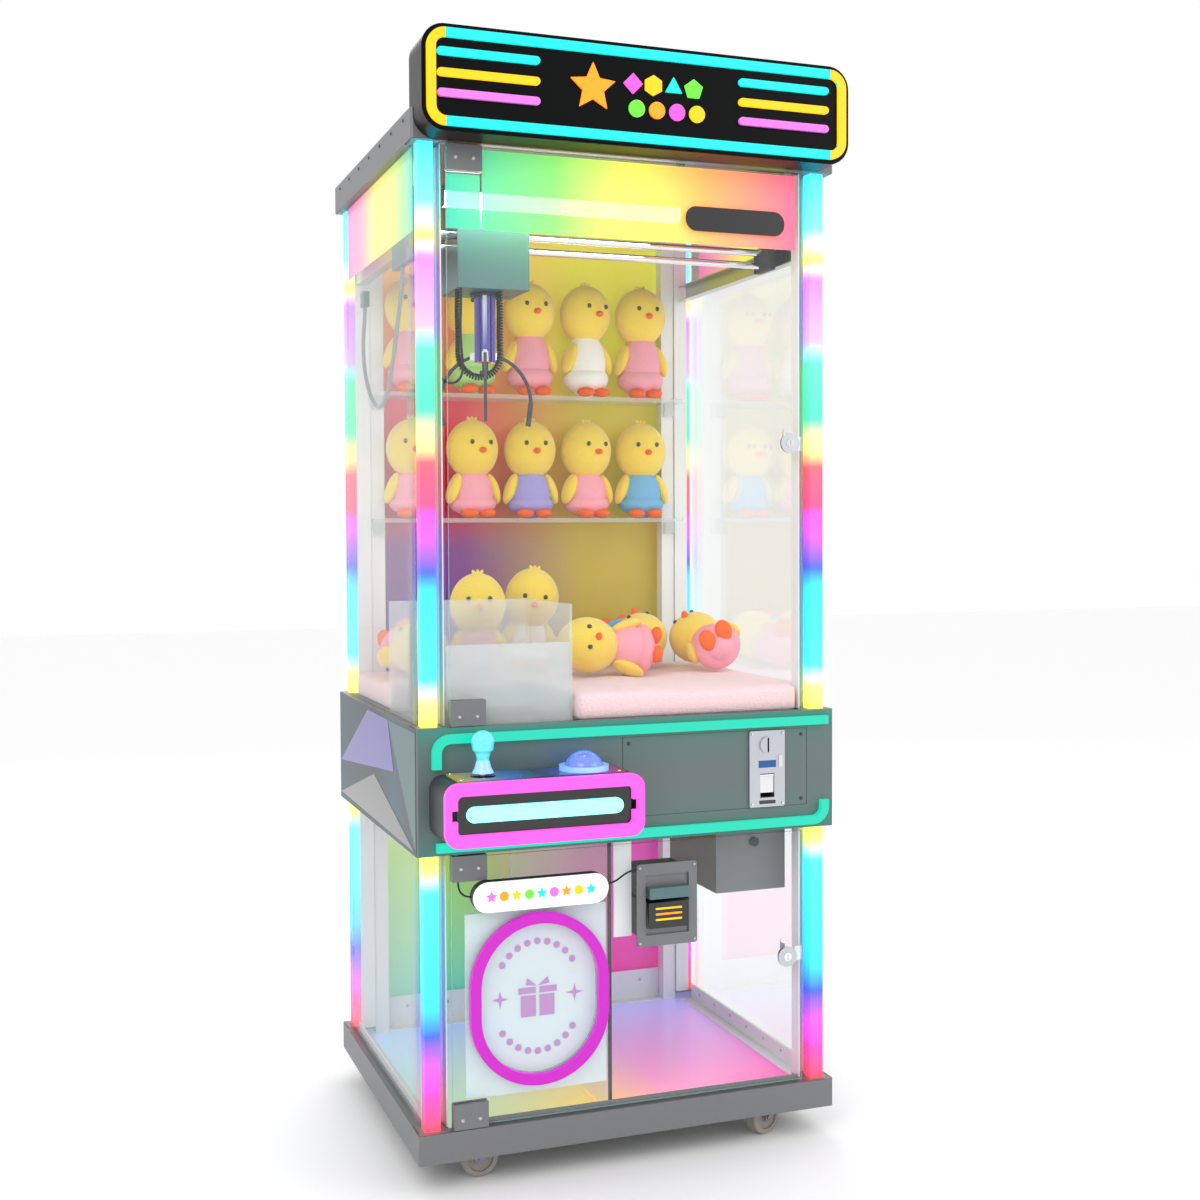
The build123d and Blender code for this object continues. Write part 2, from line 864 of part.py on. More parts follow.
export_step(top_frame.part, "parts/top_frame.step")

sign_corner = 36
sign_front = front_y - sign_reach
sign_back = front_y + sign_overlap
sign_z = (sign_bottom + sign_top) / 2
sign_face_sheet = 4
sign_rim = 3
border_inset = 7
border_width = 14
border_depth = 6
bar_length = 160
bar_height = 12
bar_centres = (-254, 238)
bar_levels = (-24, 6, 37)  # from the middle of the sign
emblem_depth = 4
sign_plane = Plane(origin=(0, sign_front, 0), x_dir=(1, 0, 0), z_dir=(0, -1, 0))

with BuildPart() as sign_box:
    with BuildSketch(sign_plane):
        with Locations((0, sign_z)):
            RectangleRounded(sign_width, sign_height, sign_corner)
    extrude(amount=-(sign_back - sign_front))
    block(
        (-half_width, half_width),
        (front_y, sign_back),
        (sign_bottom - 1, canopy_top - sign_seat + piece_gap),
        mode=Mode.SUBTRACT,
    )
    with BuildSketch(sign_plane):
        with Locations((0, sign_z)):
            RectangleRounded(
                sign_width - 2 * sign_rim, sign_height - 2 * sign_rim, sign_corner - sign_rim
            )
    extrude(amount=-(sign_reach - sign_rim), mode=Mode.SUBTRACT)
    block(
        (-sign_width / 2 + sign_corner, sign_width / 2 - sign_corner),
        (sign_front, sign_back - sign_rim),
        (canopy_top + 4, sign_top - sign_rim),
        mode=Mode.SUBTRACT,
    )
    with BuildSketch(sign_plane):
        with Locations((0, sign_z)):
            RectangleRounded(
                sign_width - 2 * sign_rim - 0.6,
                sign_height - 2 * sign_rim - 0.6,
                sign_corner - sign_rim - 0.3,
            )
    extrude(amount=-sign_face_sheet)
sign_box.part.label = "sign_box"
export_step(sign_box.part, "parts/sign_box.step")


def star_points(centre_x, centre_z, outer, inner):
    """Ten corners of a five-pointed star."""
    points = []
    for corner in range(10):
        reach = outer if corner % 2 == 0 else inner
        turn = radians(90 + 36 * corner)
        points.append((centre_x + reach * cos(turn), centre_z + reach * sin(turn)))
    return points


with BuildPart() as sign_lights:
    with BuildSketch(sign_plane):
        with Locations((0, sign_z)):
            RectangleRounded(
                sign_width - 2 * border_inset,
                sign_height - 2 * border_inset,
                sign_corner - border_inset,
            )
            RectangleRounded(
                sign_width - 2 * border_inset - 2 * border_width,
                sign_height - 2 * border_inset - 2 * border_width,
                sign_corner - border_inset - border_width,
                mode=Mode.SUBTRACT,
            )
        for bar_x in bar_centres:
            for level in bar_levels:
                with Locations((bar_x, sign_z + level)):
                    SlotOverall(bar_length, bar_height)
    extrude(amount=border_depth)
    with BuildSketch(sign_plane):
        with BuildLine():
            Polyline(*star_points(-88, sign_z + 6, 38, 18), close=True)
        make_face()
        for column, sides in enumerate((4, 6, 3, 5)):
            with Locations((-22 + 34 * column, sign_z + 18)):
                RegularPolygon(16, sides, rotation=90)
        for column in range(4):
            with Locations((-16 + 34 * column, sign_z - 20)):
                Circle(13)
    extrude(amount=emblem_depth)
sign_lights.part.label = "sign_lights"
export_step(sign_lights.part, "parts/sign_lights.step")

# ---------------------------------------------------------------- doors
clip_height = 40
clip_plate = 5
clip_bridge = 3
door_clearance = 1
top_clearance = 3
lock_shell_radius = 10
lock_core_radius = 7
lock_flange_radius = 17
lock_flange = 4
lock_length = 14
lock_hole_gap = 0.5
cam_length = 25
cam_width = 8
cam_sheet = 2.5


def door_glass_limits(bottom, top):
    """Z limits of the glass of a door that turns between two flanges."""
    return bottom + door_clearance + clip_bridge, top - top_clearance - clip_bridge


def hinge_clip(z_glass, up, pin_length):
    """Clamp on a glass edge with its pivot pin: up is +1 on the top edge, -1 below."""
    z_far = z_glass - up * (clip_height - clip_bridge)
    z_out = z_glass + up * clip_bridge
    clip_x = (-door_edge, -door_edge + clip_width)
    for plate_y in ((door_front - clip_plate, door_front), (door_back, door_back + clip_plate)):
        block(clip_x, plate_y, tuple(sorted((z_far, z_out))))
    block(clip_x, (door_front, door_back), tuple(sorted((z_glass, z_out))))
    rod((hinge_x, hinge_y, z_out), (0, 0, up), hinge_pin_radius, pin_length)


def lock_shell(x, z):
    """Fixed barrel and flange of a lock, with the bore for its turning core."""
    rod((x, door_front - lock_flange, z), (0, 1, 0), lock_shell_radius, lock_flange + lock_length)
    rod((x, door_front - lock_flange, z), (0, 1, 0), lock_flange_radius, lock_flange)
    rod(
        (x, door_front - lock_flange, z),
        (0, 1, 0),
        lock_core_radius + running_gap,
        lock_flange + lock_length,
        mode=Mode.SUBTRACT,
    )


def lock_core(x, z):
    """Turning core of a lock with its cam, which points up when unlocked."""
    start = (x, door_front - lock_flange - 1, z)
    cam_y = door_front + lock_length + 0.5
    rod(start, (0, 1, 0), lock_core_radius, cam_y + cam_sheet - start[1])
    block((x - cam_width / 2, x + cam_width / 2), (cam_y, cam_y + cam_sheet), (z, z + cam_length))
    block((x - 0.8, x + 0.8), (start[1], start[1] + 3), (z - 5, z + 5), mode=Mode.SUBTRACT)


upper_glass = door_glass_limits(console_top, canopy_bottom)
lower_glass = door_glass_limits(skirt_top, console_bottom)
upper_lock_z = console_top + upper_lock_height
lower_lock_z = skirt_top + lower_lock_height

with BuildPart() as upper_door_glass:
    block((-door_edge, door_edge), (door_front, door_back), upper_glass)
    rod(
        (upper_lock_x, door_front, upper_lock_z),
        (0, 1, 0),
        lock_shell_radius + lock_hole_gap,
        glass_thickness,
        mode=Mode.SUBTRACT,
    )
upper_door_glass.part.label = "upper_door_glass"
export_step(upper_door_glass.part, "parts/upper_door_glass.step")

with BuildPart() as upper_door_fittings:
    hinge_clip(upper_glass[0], -1, door_clearance + sheet - 0.3)
    hinge_clip(upper_glass[1], 1, top_clearance + sheet - 0.3)
    lock_shell(upper_lock_x, upper_lock_z)
upper_door_fittings.part.label = "upper_door_fittings"
export_step(upper_door_fittings.part, "parts/upper_door_fittings.step")

with BuildPart() as upper_door_lock:
    lock_core(upper_lock_x, upper_lock_z)
upper_door_lock.part.label = "upper_door_lock"
export_step(upper_door_lock.part, "parts/upper_door_lock.step")

prize_x = -163
ring_width = 229
ring_height = 274
pill_height = 48
pill_clip_gap = 1
pill_ring_gap = 9
pill_bottom = lower_glass[1] - clip_height + clip_bridge - pill_clip_gap - pill_height
prize_z = pill_bottom - pill_ring_gap - ring_height / 2
ring_band = 17
ring_depth = 12
flap_left = -281
flap_right = -47
flap_bottom = skirt_top + 44
flap_axis_height = 88  # below the console bottom
flap_sheet = 4
flap_pin_radius = 2.5
flap_knuckle_radius = 5
flap_bracket_outer = -216
flap_bracket_inner = -134
flap_bracket_width = 16
flap_pivot_y = door_back + 6
flap_pivot_z = console_bottom - flap_axis_height
door_plane = Plane(origin=(0, door_front, 0), x_dir=(1, 0, 0), z_dir=(0, -1, 0))
validator_left = 3.5
validator_width = 105.5
validator_top = console_bottom - 40
validator_height = 135
validator_x = validator_left + validator_width / 2
validator_z = validator_top - validator_height / 2
validator_body_width = 84
validator_body_height = 112
validator_body_depth = 80
validator_hole_gap = 2

with BuildPart() as lower_door_glass:
    block((-door_edge, door_edge), (door_front, door_back), lower_glass)
    with BuildSketch(door_plane):
        with Locations((prize_x, prize_z)):
            SlotOverall(ring_height - 2 * ring_band, ring_width - 2 * ring_band, rotation=90)
        with Locations((validator_x, validator_z)):
            Rectangle(
                validator_body_width + 2 * validator_hole_gap,
                validator_body_height + 2 * validator_hole_gap,
            )
        with Locations((lower_lock_x, lower_lock_z)):
            Circle(lock_shell_radius + lock_hole_gap)
    extrude(amount=-glass_thickness, mode=Mode.SUBTRACT)
lower_door_glass.part.label = "lower_door_glass"
export_step(lower_door_glass.part, "parts/lower_door_glass.step")

with BuildPart() as lower_door_fittings:
    hinge_clip(lower_glass[0], -1, door_clearance + sheet - 0.3)
    hinge_clip(lower_glass[1], 1, top_clearance + sheet - 0.3)
    lock_shell(lower_lock_x, lower_lock_z)
    for inner in (flap_bracket_outer, flap_bracket_inner - flap_bracket_width):
        block(
            (inner, inner + flap_bracket_width),
            (door_back, flap_pivot_y + 5),
            (flap_pivot_z - 7, flap_pivot_z + 7),
        )
    rod(
        (flap_bracket_outer, flap_pivot_y, flap_pivot_z),
        (1, 0, 0),
        flap_pin_radius + running_gap,
        flap_bracket_inner - flap_bracket_outer,
        mode=Mode.SUBTRACT,
    )
lower_door_fittings.part.label = "lower_door_fittings"
export_step(lower_door_fittings.part, "parts/lower_door_fittings.step")

with BuildPart() as lower_door_lock:
    lock_core(lower_lock_x, lower_lock_z)
lower_door_lock.part.label = "lower_door_lock"
export_step(lower_door_lock.part, "parts/lower_door_lock.step")

with BuildPart() as prize_ring:
    with BuildSketch(door_plane):
        with Locations((prize_x, prize_z)):
            SlotOverall(ring_height, ring_width, rotation=90)
            SlotOverall(
                ring_height - 2 * ring_band,
                ring_width - 2 * ring_band,
                rotation=90,
                mode=Mode.SUBTRACT,
            )
    extrude(amount=ring_depth)
prize_ring.part.label = "prize_ring"
export_step(prize_ring.part, "parts/prize_ring.step")

knuckle_x = (
    flap_bracket_outer + flap_bracket_width + 0.5,
    flap_bracket_inner - flap_bracket_width - 0.5,
)
with BuildPart() as prize_flap:
    block(
        (flap_left, flap_right),
        (door_back + 1, door_back + 1 + flap_sheet),
        (flap_bottom, flap_pivot_z - 10),
    )
    block(
        knuckle_x,
        (door_back + 1, door_back + 1 + flap_sheet),
        (flap_pivot_z - 10, flap_pivot_z),
    )
    rod(
        (knuckle_x[0], flap_pivot_y, flap_pivot_z),
        (1, 0, 0),
        flap_knuckle_radius,
        knuckle_x[1] - knuckle_x[0],
    )
    rod(
        (flap_bracket_outer, flap_pivot_y, flap_pivot_z),
        (1, 0, 0),
        flap_pin_radius,
        flap_bracket_inner - flap_bracket_outer,
    )
prize_flap.part.label = "prize_flap"
export_step(prize_flap.part, "parts/prize_flap.step")

pill_left = -275
pill_right = -51
pill_depth = 18
with BuildPart() as pill_sign:
    with BuildSketch(door_plane):
        with Locations(((pill_left + pill_right) / 2, pill_bottom + pill_height / 2)):
            SlotOverall(pill_right - pill_left, pill_height)
    extrude(amount=pill_depth)
pill_sign.part.label = "pill_sign"
export_step(pill_sign.part, "parts/pill_sign.step")

slot_z = validator_z + 8
bill_width = 70
slot_height = 7
with BuildPart() as bill_validator:
    with BuildSketch(door_plane):
        with Locations((validator_x, validator_z)):
            RectangleRounded(validator_width, validator_height, 5)
            Rectangle(validator_body_width - 8, validator_body_height - 14, mode=Mode.SUBTRACT)
    extrude(amount=lock_flange)
    block(
        (validator_x - validator_body_width / 2, validator_x + validator_body_width / 2),
        (door_front + piece_gap, door_front + validator_body_depth),
        (slot_z + slot_height / 2, validator_z + validator_body_height / 2),
    )
    block(
        (validator_x - validator_body_width / 2, validator_x + validator_body_width / 2),
        (door_front + piece_gap, door_front + validator_body_depth),
        (validator_z - validator_body_height / 2, slot_z - slot_height / 2),
    )
    block(
        (validator_x - validator_body_width / 2, validator_x + validator_body_width / 2),
        (door_front + validator_body_depth - 8, door_front + validator_body_depth),
        (slot_z - slot_height / 2, slot_z + slot_height / 2),
    )
    for z_span, reach in (
        ((slot_z + slot_height / 2, slot_z + slot_height / 2 + 18), 16),
        ((slot_z - slot_height / 2 - 42, slot_z - slot_height / 2), 10),
    ):
        block(
            (validator_x - bill_width / 2, validator_x + bill_width / 2),
            (door_front - reach, door_front + piece_gap),
            z_span,
        )
bill_validator.part.label = "bill_validator"
export_step(bill_validator.part, "parts/bill_validator.step")

# ---------------------------------------------------------------- cash box
cash_left = 176
cash_right = 306
cash_height = 117
cash_front = front_y + 76
cash_depth = 200
cash_wall = 2
drawer_gap = 1
cash_bottom = console_bottom - cash_height
with BuildPart() as cash_box:
    block(
        (cash_left, cash_right),
        (cash_front, cash_front + cash_depth),
        (cash_bottom, console_bottom - piece_gap),
    )
    block(
        (cash_left + cash_wall, cash_right - cash_wall),
        (cash_front, cash_front + cash_depth - cash_wall),
        (cash_bottom + cash_wall, console_bottom - cash_wall),
        mode=Mode.SUBTRACT,
    )
cash_box.part.label = "cash_box"
export_step(cash_box.part, "parts/cash_box.step")

drawer_x = (cash_left + cash_wall + drawer_gap, cash_right - cash_wall - drawer_gap)
drawer_floor = cash_bottom + cash_wall + 0.5
with BuildPart() as cash_drawer:
    block(
        drawer_x,
        (cash_front + 1, cash_front + cash_depth - 8),
        (drawer_floor, console_bottom - cash_wall - 18),
    )
    block(
        (drawer_x[0] + cash_wall, drawer_x[1] - cash_wall),
        (cash_front + 1 + cash_wall, cash_front + cash_depth - 8 - cash_wall),
        (drawer_floor + cash_wall, console_bottom),
        mode=Mode.SUBTRACT,
    )
    block(
        (cash_left, cash_right),
        (cash_front - cash_wall - piece_gap, cash_front - piece_gap),
        (cash_bottom, console_bottom - 2 * cash_wall),
    )
    block(
        (drawer_x[0] + 20, drawer_x[1] - 20),
        (cash_front - piece_gap, cash_front + 1),
        (drawer_floor, console_bottom - 40),
    )
    rod(
        ((cash_left + cash_right) / 2 + 6, cash_front - cash_wall - piece_gap, cash_bottom + 84),
        (0, -1, 0),
        8,
        4,
    )
cash_drawer.part.label = "cash_drawer"
export_step(cash_drawer.part, "parts/cash_drawer.step")

# ---------------------------------------------------------------- shelves, chute, bed
shelf_sheet = 8
shelf_depth = 90
shelf_levels = (console_top + 319, console_top + 553)
shelf_half = post_inside - 4
with BuildPart() as shelves:
    for level in shelf_levels:
        block(
            (-shelf_half, shelf_half),
            (back_front - 1 - shelf_depth, rear_y - upright_y[0] - 1),
            (level, level + shelf_sheet),
        )
        block(
            (-upright_x[0] + 2, upright_x[0] - 2),
            (back_front - 1 - shelf_depth, back_front - 1),
            (level, level + shelf_sheet),
        )
        for side in (-1, 1):
            block(
                corner_span(side, upright_x[0] + 2, upright_x[1] - 3),
                (rear_y - upright_y[0] - 13, rear_y - upright_y[0] - 1),
                (level - 24, level),
            )
shelves.part.label = "shelves"
export_step(shelves.part, "parts/shelves.step")

chute_sheet = 4
chute_height = 185  # above the console top
chute_front_height = 124
divider_x = -40
divider_sheet = 3
gasket_width = 6
with BuildPart() as prize_chute:
    block(
        (chute_right, chute_right + chute_sheet),
        (chute_front - chute_sheet, chute_rear + chute_sheet),
        (deck_top, console_top + chute_height),
    )
    block(
        (-flange_x + piece_gap, chute_right - piece_gap),
        (chute_rear, chute_rear + chute_sheet),
        (deck_top, console_top + chute_height),
    )
    block(
        (chute_left, chute_right - piece_gap),
        (chute_front - chute_sheet, chute_front),
        (deck_top, console_top + chute_front_height),
    )
    block(
        (divider_x, divider_x + divider_sheet),
        (front_y + flange, rear_y - flange - angle_leg - core_sheet - 1),
        (floor_top, console_bottom),
    )
    block(
        (divider_x + divider_sheet / 2 - gasket_width / 2, divider_x + divider_sheet / 2 + gasket_width / 2),
        (door_back + 6, front_y + flange - piece_gap),
        (skirt_top, console_bottom),
    )
prize_chute.part.label = "prize_chute"
export_step(prize_chute.part, "parts/prize_chute.step")

bed_thickness = 43
bed_gap = 5
bed_front = front_y + 22
bed_side = flange_x - 1
bed_rear = rear_y - flange - 1
bed_notch = post_inside - core_sheet - 5
bed_rear_notch = upright_x[0] - 3
with BuildPart() as plush_bed:
    with BuildSketch(Plane.XY.offset(deck_top + piece_gap)):
        with BuildLine():
            Polyline(
                (chute_right + chute_sheet + bed_gap, bed_front),
                (bed_notch, bed_front),
                (bed_notch, front_y + gusset + bed_gap),
                (bed_side, front_y + gusset + bed_gap),
                (bed_side, rear_y - gusset - bed_gap),
                (bed_rear_notch, rear_y - gusset - bed_gap),
                (bed_rear_notch, bed_rear),
                (-bed_rear_notch, bed_rear),
                (-bed_rear_notch, rear_y - gusset - bed_gap),
                (-bed_side, rear_y - gusset - bed_gap),
                (-bed_side, chute_rear + chute_sheet + bed_gap),
                (chute_right + chute_sheet + bed_gap, chute_rear + chute_sheet + bed_gap),
                close=True,
            )
        make_face()
    extrude(amount=bed_thickness)
plush_bed.part.label = "plush_bed"
export_step(plush_bed.part, "parts/plush_bed.step")

# ---------------------------------------------------------------- lamp
lamp_y = front_y + 68
lamp_z = canopy_bottom - 74
lamp_radius = 13
lamp_ends = (-306, 118)
holder_thickness = 12
holder_width = 30
with BuildPart() as lamp:
    rod(
        (lamp_ends[0] + holder_thickness, lamp_y, lamp_z),
        (1, 0, 0),
        lamp_radius,
        lamp_ends[1] - lamp_ends[0] - 2 * holder_thickness,
    )
    for x in (lamp_ends[0], lamp_ends[1] - holder_thickness):
        shift = -piece_gap if x < 0 else piece_gap
        block(
            (x + shift, x + holder_thickness + shift),
            (lamp_y - holder_width / 2, lamp_y + holder_width / 2),
            (lamp_z - lamp_radius, lamp_z + lamp_radius + 4),
        )
        block(
            (x + 4 + shift, x + 7 + shift),
            (lamp_y - holder_width / 2, lamp_y + holder_width / 2),
            (lamp_z + lamp_radius, canopy_top - sheet - piece_gap),
        )
lamp.part.label = "lamp"
export_step(lamp.part, "parts/lamp.step")

# ---------------------------------------------------------------- gantry crane
rail_z = canopy_bottom - 124
rail_half_height = 15
rail_inner = 314
rail_outer = 332
rail_wall = 2.5
rail_ends = (front_y + gusset + 8, rear_y - gusset - 8)
shoe_gap = 0.5
hanger_width = 30
rod_radius = 6
rod_clearance = 0.08
upper_rod = (front_y + 136, canopy_bottom - 114)
lower_rod = (front_y + 148, canopy_bottom - 134)
truck_inner = 296
truck_outer = 308
truck_y = (front_y + 111, front_y + 171)
home_x = -201
home_y = front_y + 156
trolley_half_x = 60
trolley_half_y = 55
trolley_bottom = canopy_bottom - 205
trolley_top = canopy_bottom - 65
trolley_wall = 2
winch_motor = (52, 60)
drum_radius = 16
drum_length = 50

with BuildPart() as gantry_rails:
    for side in (-1, 1):
        block(
            corner_span(side, rail_inner, rail_outer),
            rail_ends,
            (rail_z - rail_half_height, rail_z + rail_half_height),
        )
        block(
            corner_span(side, rail_inner, rail_outer - rail_wall),
            rail_ends,
            (rail_z - rail_half_height + rail_wall, rail_z + rail_half_height - rail_wall),
            mode=Mode.SUBTRACT,
        )
        for hanger_y in (rail_ends[0] + 30, rail_ends[1] - 60):
            block(
                corner_span(side, rail_outer - rail_wall, rail_outer),
                (hanger_y, hanger_y + hanger_width),
                (rail_z, canopy_top - sheet - piece_gap),
            )
gantry_rails.part.label = "gantry_rails"
export_step(gantry_rails.part, "parts/gantry_rails.step")

with BuildPart() as gantry_bridge:
    for side in (-1, 1):
        block(
            corner_span(side, truck_inner, truck_outer),
            truck_y,
            (rail_z - 21, rail_z + 21),
        )
        block(
            corner_span(side, truck_outer, rail_outer - rail_wall - shoe_gap),
            (truck_y[0] + 6, truck_y[1] - 6),
            (
                rail_z - rail_half_height + rail_wall + shoe_gap,
                rail_z + rail_half_height - rail_wall - shoe_gap,
            ),
        )
    for rod_y, rod_z in (upper_rod, lower_rod):
        rod((-truck_inner - 4, rod_y, rod_z), (1, 0, 0), rod_radius, 2 * (truck_inner + 4))
gantry_bridge.part.label = "gantry_bridge"
export_step(gantry_bridge.part, "parts/gantry_bridge.step")

with BuildPart() as trolley_box:
    block(
        (home_x - trolley_half_x, home_x + trolley_half_x),
        (home_y - trolley_half_y, home_y + trolley_half_y),
        (trolley_bottom, trolley_top),
    )
    block(
        (home_x - trolley_half_x + trolley_wall, home_x + trolley_half_x - trolley_wall),
        (home_y - trolley_half_y + trolley_wall, home_y + trolley_half_y - trolley_wall),
        (trolley_bottom + trolley_wall, trolley_top - trolley_wall),
        mode=Mode.SUBTRACT,
    )
    for rod_y, rod_z in (upper_rod, lower_rod):
        rod(
            (home_x - trolley_half_x, rod_y, rod_z),
            (1, 0, 0),
            rod_radius + rod_clearance,
            2 * trolley_half_x,
            mode=Mode.SUBTRACT,
        )
    block(
        (home_x - winch_motor[0], home_x - winch_motor[0] + 22),
        (home_y - 15, home_y + 25),
        (trolley_bottom, trolley_bottom + winch_motor[1]),
    )
    rod(
        (home_x - winch_motor[0] + 20, home_y + 5, trolley_bottom + 32),
        (1, 0, 0),
        drum_radius,
        drum_length,
    )
trolley_box.part.label = "trolley_box"
export_step(trolley_box.part, "parts/trolley_box.step")

head_radius = 17.5
head_top = trolley_bottom - 1
head_length = 112
head_bottom = head_top - head_length
finger_pivot_reach = 22
finger_pivot_z = head_bottom + 10
finger_width = 5
finger_thickness = 4
finger_pin_radius = 2
finger_headings = (254, 14, 134)
plunger_radius = 5
plunger_drop = 14

with BuildPart() as claw_head:
    rod((home_x, home_y, head_top), (0, 0, -1), 24, 4)
    rod((home_x, home_y, head_top), (0, 0, -1), head_radius, head_length)
    for heading in finger_headings:
        ear_plane = Plane(
            origin=(home_x, home_y, 0),
            x_dir=(cos(radians(heading)), sin(radians(heading)), 0),
            z_dir=(sin(radians(heading)), -cos(radians(heading)), 0),
        )
        for plane_offset in (finger_width / 2 + 0.5, -finger_width / 2 - 2.5):
            with BuildSketch(ear_plane.offset(plane_offset)):
                with Locations((finger_pivot_reach - 4, finger_pivot_z)):
                    Rectangle(16, 12)
            extrude(amount=2)
        with BuildSketch(ear_plane.offset(-finger_width / 2 - 0.5)):
            with Locations((finger_pivot_reach - 2, finger_pivot_z)):
                Rectangle(20, 20)
        extrude(amount=finger_width + 1, mode=Mode.SUBTRACT)
        with BuildSketch(ear_plane.offset(-finger_width / 2 - 2.5)):
            with Locations((finger_pivot_reach, finger_pivot_z)):
                Circle(finger_pin_radius)
        extrude(amount=finger_width + 5)
    rod(
        (home_x, home_y, head_bottom),
        (0, 0, 1),
        plunger_radius + running_gap,
        40,
        mode=Mode.SUBTRACT,
    )
claw_head.part.label = "claw_head"
export_step(claw_head.part, "parts/claw_head.step")

for number, heading in enumerate(finger_headings, start=1):
    finger_plane = Plane(
        origin=(home_x, home_y, 0),
        x_dir=(cos(radians(heading)), sin(radians(heading)), 0),
        z_dir=(sin(radians(heading)), -cos(radians(heading)), 0),
    )
    elbow = (88, finger_pivot_z - 73)
    tip = (82, finger_pivot_z - 112)
    pivot = (finger_pivot_reach, finger_pivot_z)
    with BuildPart() as claw_finger:
        with BuildSketch(finger_plane.offset(-finger_width / 2)):
            with BuildLine() as arm_line:
                ThreePointArc(pivot, (64, finger_pivot_z - 20), elbow)
            trace(arm_line.line, line_width=finger_thickness)
            with BuildLine() as tip_line:
                Line(elbow, tip)
            trace(tip_line.line, line_width=finger_thickness + 3)
            with Locations(pivot):
                Circle(4.5)
                Circle(finger_pin_radius + running_gap, mode=Mode.SUBTRACT)
        extrude(amount=finger_width)
    claw_finger.part.label = f"claw_finger_{number}"
    export_step(claw_finger.part, f"parts/claw_finger_{number}.step")

with BuildPart() as claw_plunger:
    rod((home_x, home_y, head_bottom - plunger_drop), (0, 0, 1), plunger_radius, plunger_drop + 28)
    rod((home_x, home_y, head_bottom - plunger_drop), (0, 0, -1), 9, 4)
claw_plunger.part.label = "claw_plunger"
export_step(claw_plunger.part, "parts/claw_plunger.step")

# ---------------------------------------------------------------- electronics
with BuildPart() as electronics:
    block(
        (120, 300),
        (rear_y - 170, rear_y - 60),
        (console_bottom + sheet + piece_gap, console_bottom + 55),
    )
    block((20, 100), (rear_y - 160, rear_y - 60), (console_bottom + sheet + 0.2, console_bottom + 35))
    block(
        (-glass_inner + 1, -rail_outer - 2),
        (front_y + 51 + 2, front_y + 202),
        (canopy_bottom - 169, canopy_bottom - 60),
    )
    block(
        (-glass_inner + 1, -rail_outer - 2),
        (front_y + 433, front_y + 459),
        (canopy_bottom - 195, canopy_bottom - 168),
    )
electronics.part.label = "electronics"
export_step(electronics.part, "parts/electronics.step")

# ---------------------------------------------------------------- cords
grey_cord_diameter = 7
black_cord_diameter = 4
coil_diameter = 12
sign_cord_diameter = 3
cord_x = -339.5

grey_route = [
    (cord_x, 190, 1429.3),
    (cord_x, 193, 1408),
    (cord_x, 204, 1385),
    (cord_x, 209, 1355),
    (cord_x, 200, 1322),
    (cord_x, 176, 1290),
    (cord_x, 140, 1262),
    (cord_x, 97, 1245),
    (cord_x, 52, 1243),
    (cord_x, 12, 1262),
    (cord_x, -20, 1298),
    (cord_x, -49, 1340),
    (cord_x, -74, 1382),
    (cord_x, -94, 1414),
    (cord_x, -103, 1436),
    (cord_x, -105, 1455.4),
]
black_route = [
    (-261.2, -148, 1499),
    (-272, -148.3, 1498.4),
    (-283, -148.6, 1493),
    (-290, -149, 1483),
    (-293, -149.3, 1470),
    (-294, -149.6, 1448),
    (-293, -150, 1408),
    (-290.5, -150.4, 1368),
    (-290.5, -150.7, 1328),
    (-293, -150.9, 1300),
    (-292, -151, 1278),
    (-281, -151, 1267),
    (-265, -150.6, 1267),
    (-254, -150, 1278),
    (-252, -149.5, 1300),
    (-255, -149.2, 1328),
    (-256, -149, 1360),
    (-254.5, -148.6, 1392),
    (-254.3, -148.4, 1419.6),
]
coil_route = [
    (-184, -126, 1419.6),
    (-182.8, -126.4, 1384),
    (-183.8, -126.8, 1345),
    (-183, -127, 1301),
    (-204, -127.3, 1280),
    (-233, -127.3, 1280),
    (-254, -127, 1301),
    (-253, -126.8, 1345),
    (-254.3, -126.4, 1384),
    (-253, -126, 1419.6),
]
left_sign_route = [
    (-275.4, -258, 462),
    (-280.5, -256.6, 462.6),
    (-286.5, -255, 465),
    (-291.5, -253.8, 470),
    (-294, -253, 477),
    (-294.5, -252.6, 485.6),
]
right_sign_route = [
    (-50.6, -256, 463),
    (-36, -256, 465),
    (-22, -254.5, 474),
    (-9, -252.6, 480),
    (3.2, -252, 481.5),
]


def bend_radii(points):
    """Radius of each corner: 0.45 of its shorter run over the tangent of half the turn."""
    corners_at = [Vector(*point) for point in points]
    radii = []
    for before, here, after in zip(corners_at, corners_at[1:], corners_at[2:]):
        shorter = min((here - before).length, (after - here).length)
        turn = (here - before).get_angle(after - here)
        radii.append(0.45 * shorter / tan(radians(turn / 2)))
    return radii


def cord_tube(name, points, diameter):
    """Round cord along straight runs joined by tangent arcs."""
    radii = bend_radii(points)
    with BuildLine() as route:
        FilletPolyline(*points, radius=radii)
    path = route.wires()[0]
    with BuildSketch(Plane(origin=path @ 0, z_dir=path % 0)) as section:
        Circle(diameter / 2)
    sweep(section.sketch, path=path)
    print(name, "length", round(path.length, 1), "bend radii", [round(radius, 1) for radius in radii])


with BuildPart() as grey_cable:
    cord_tube("grey_cable", grey_route, grey_cord_diameter)
grey_cable.part.label = "grey_cable"
export_step(grey_cable.part, "parts/grey_cable.step")

with BuildPart() as black_cable:
    cord_tube("black_cable", black_route, black_cord_diameter)
black_cable.part.label = "black_cable"
export_step(black_cable.part, "parts/black_cable.step")

with BuildPart() as claw_cable:
    cord_tube("claw_cable", coil_route, coil_diameter)
claw_cable.part.label = "claw_cable"
export_step(claw_cable.part, "parts/claw_cable.step")

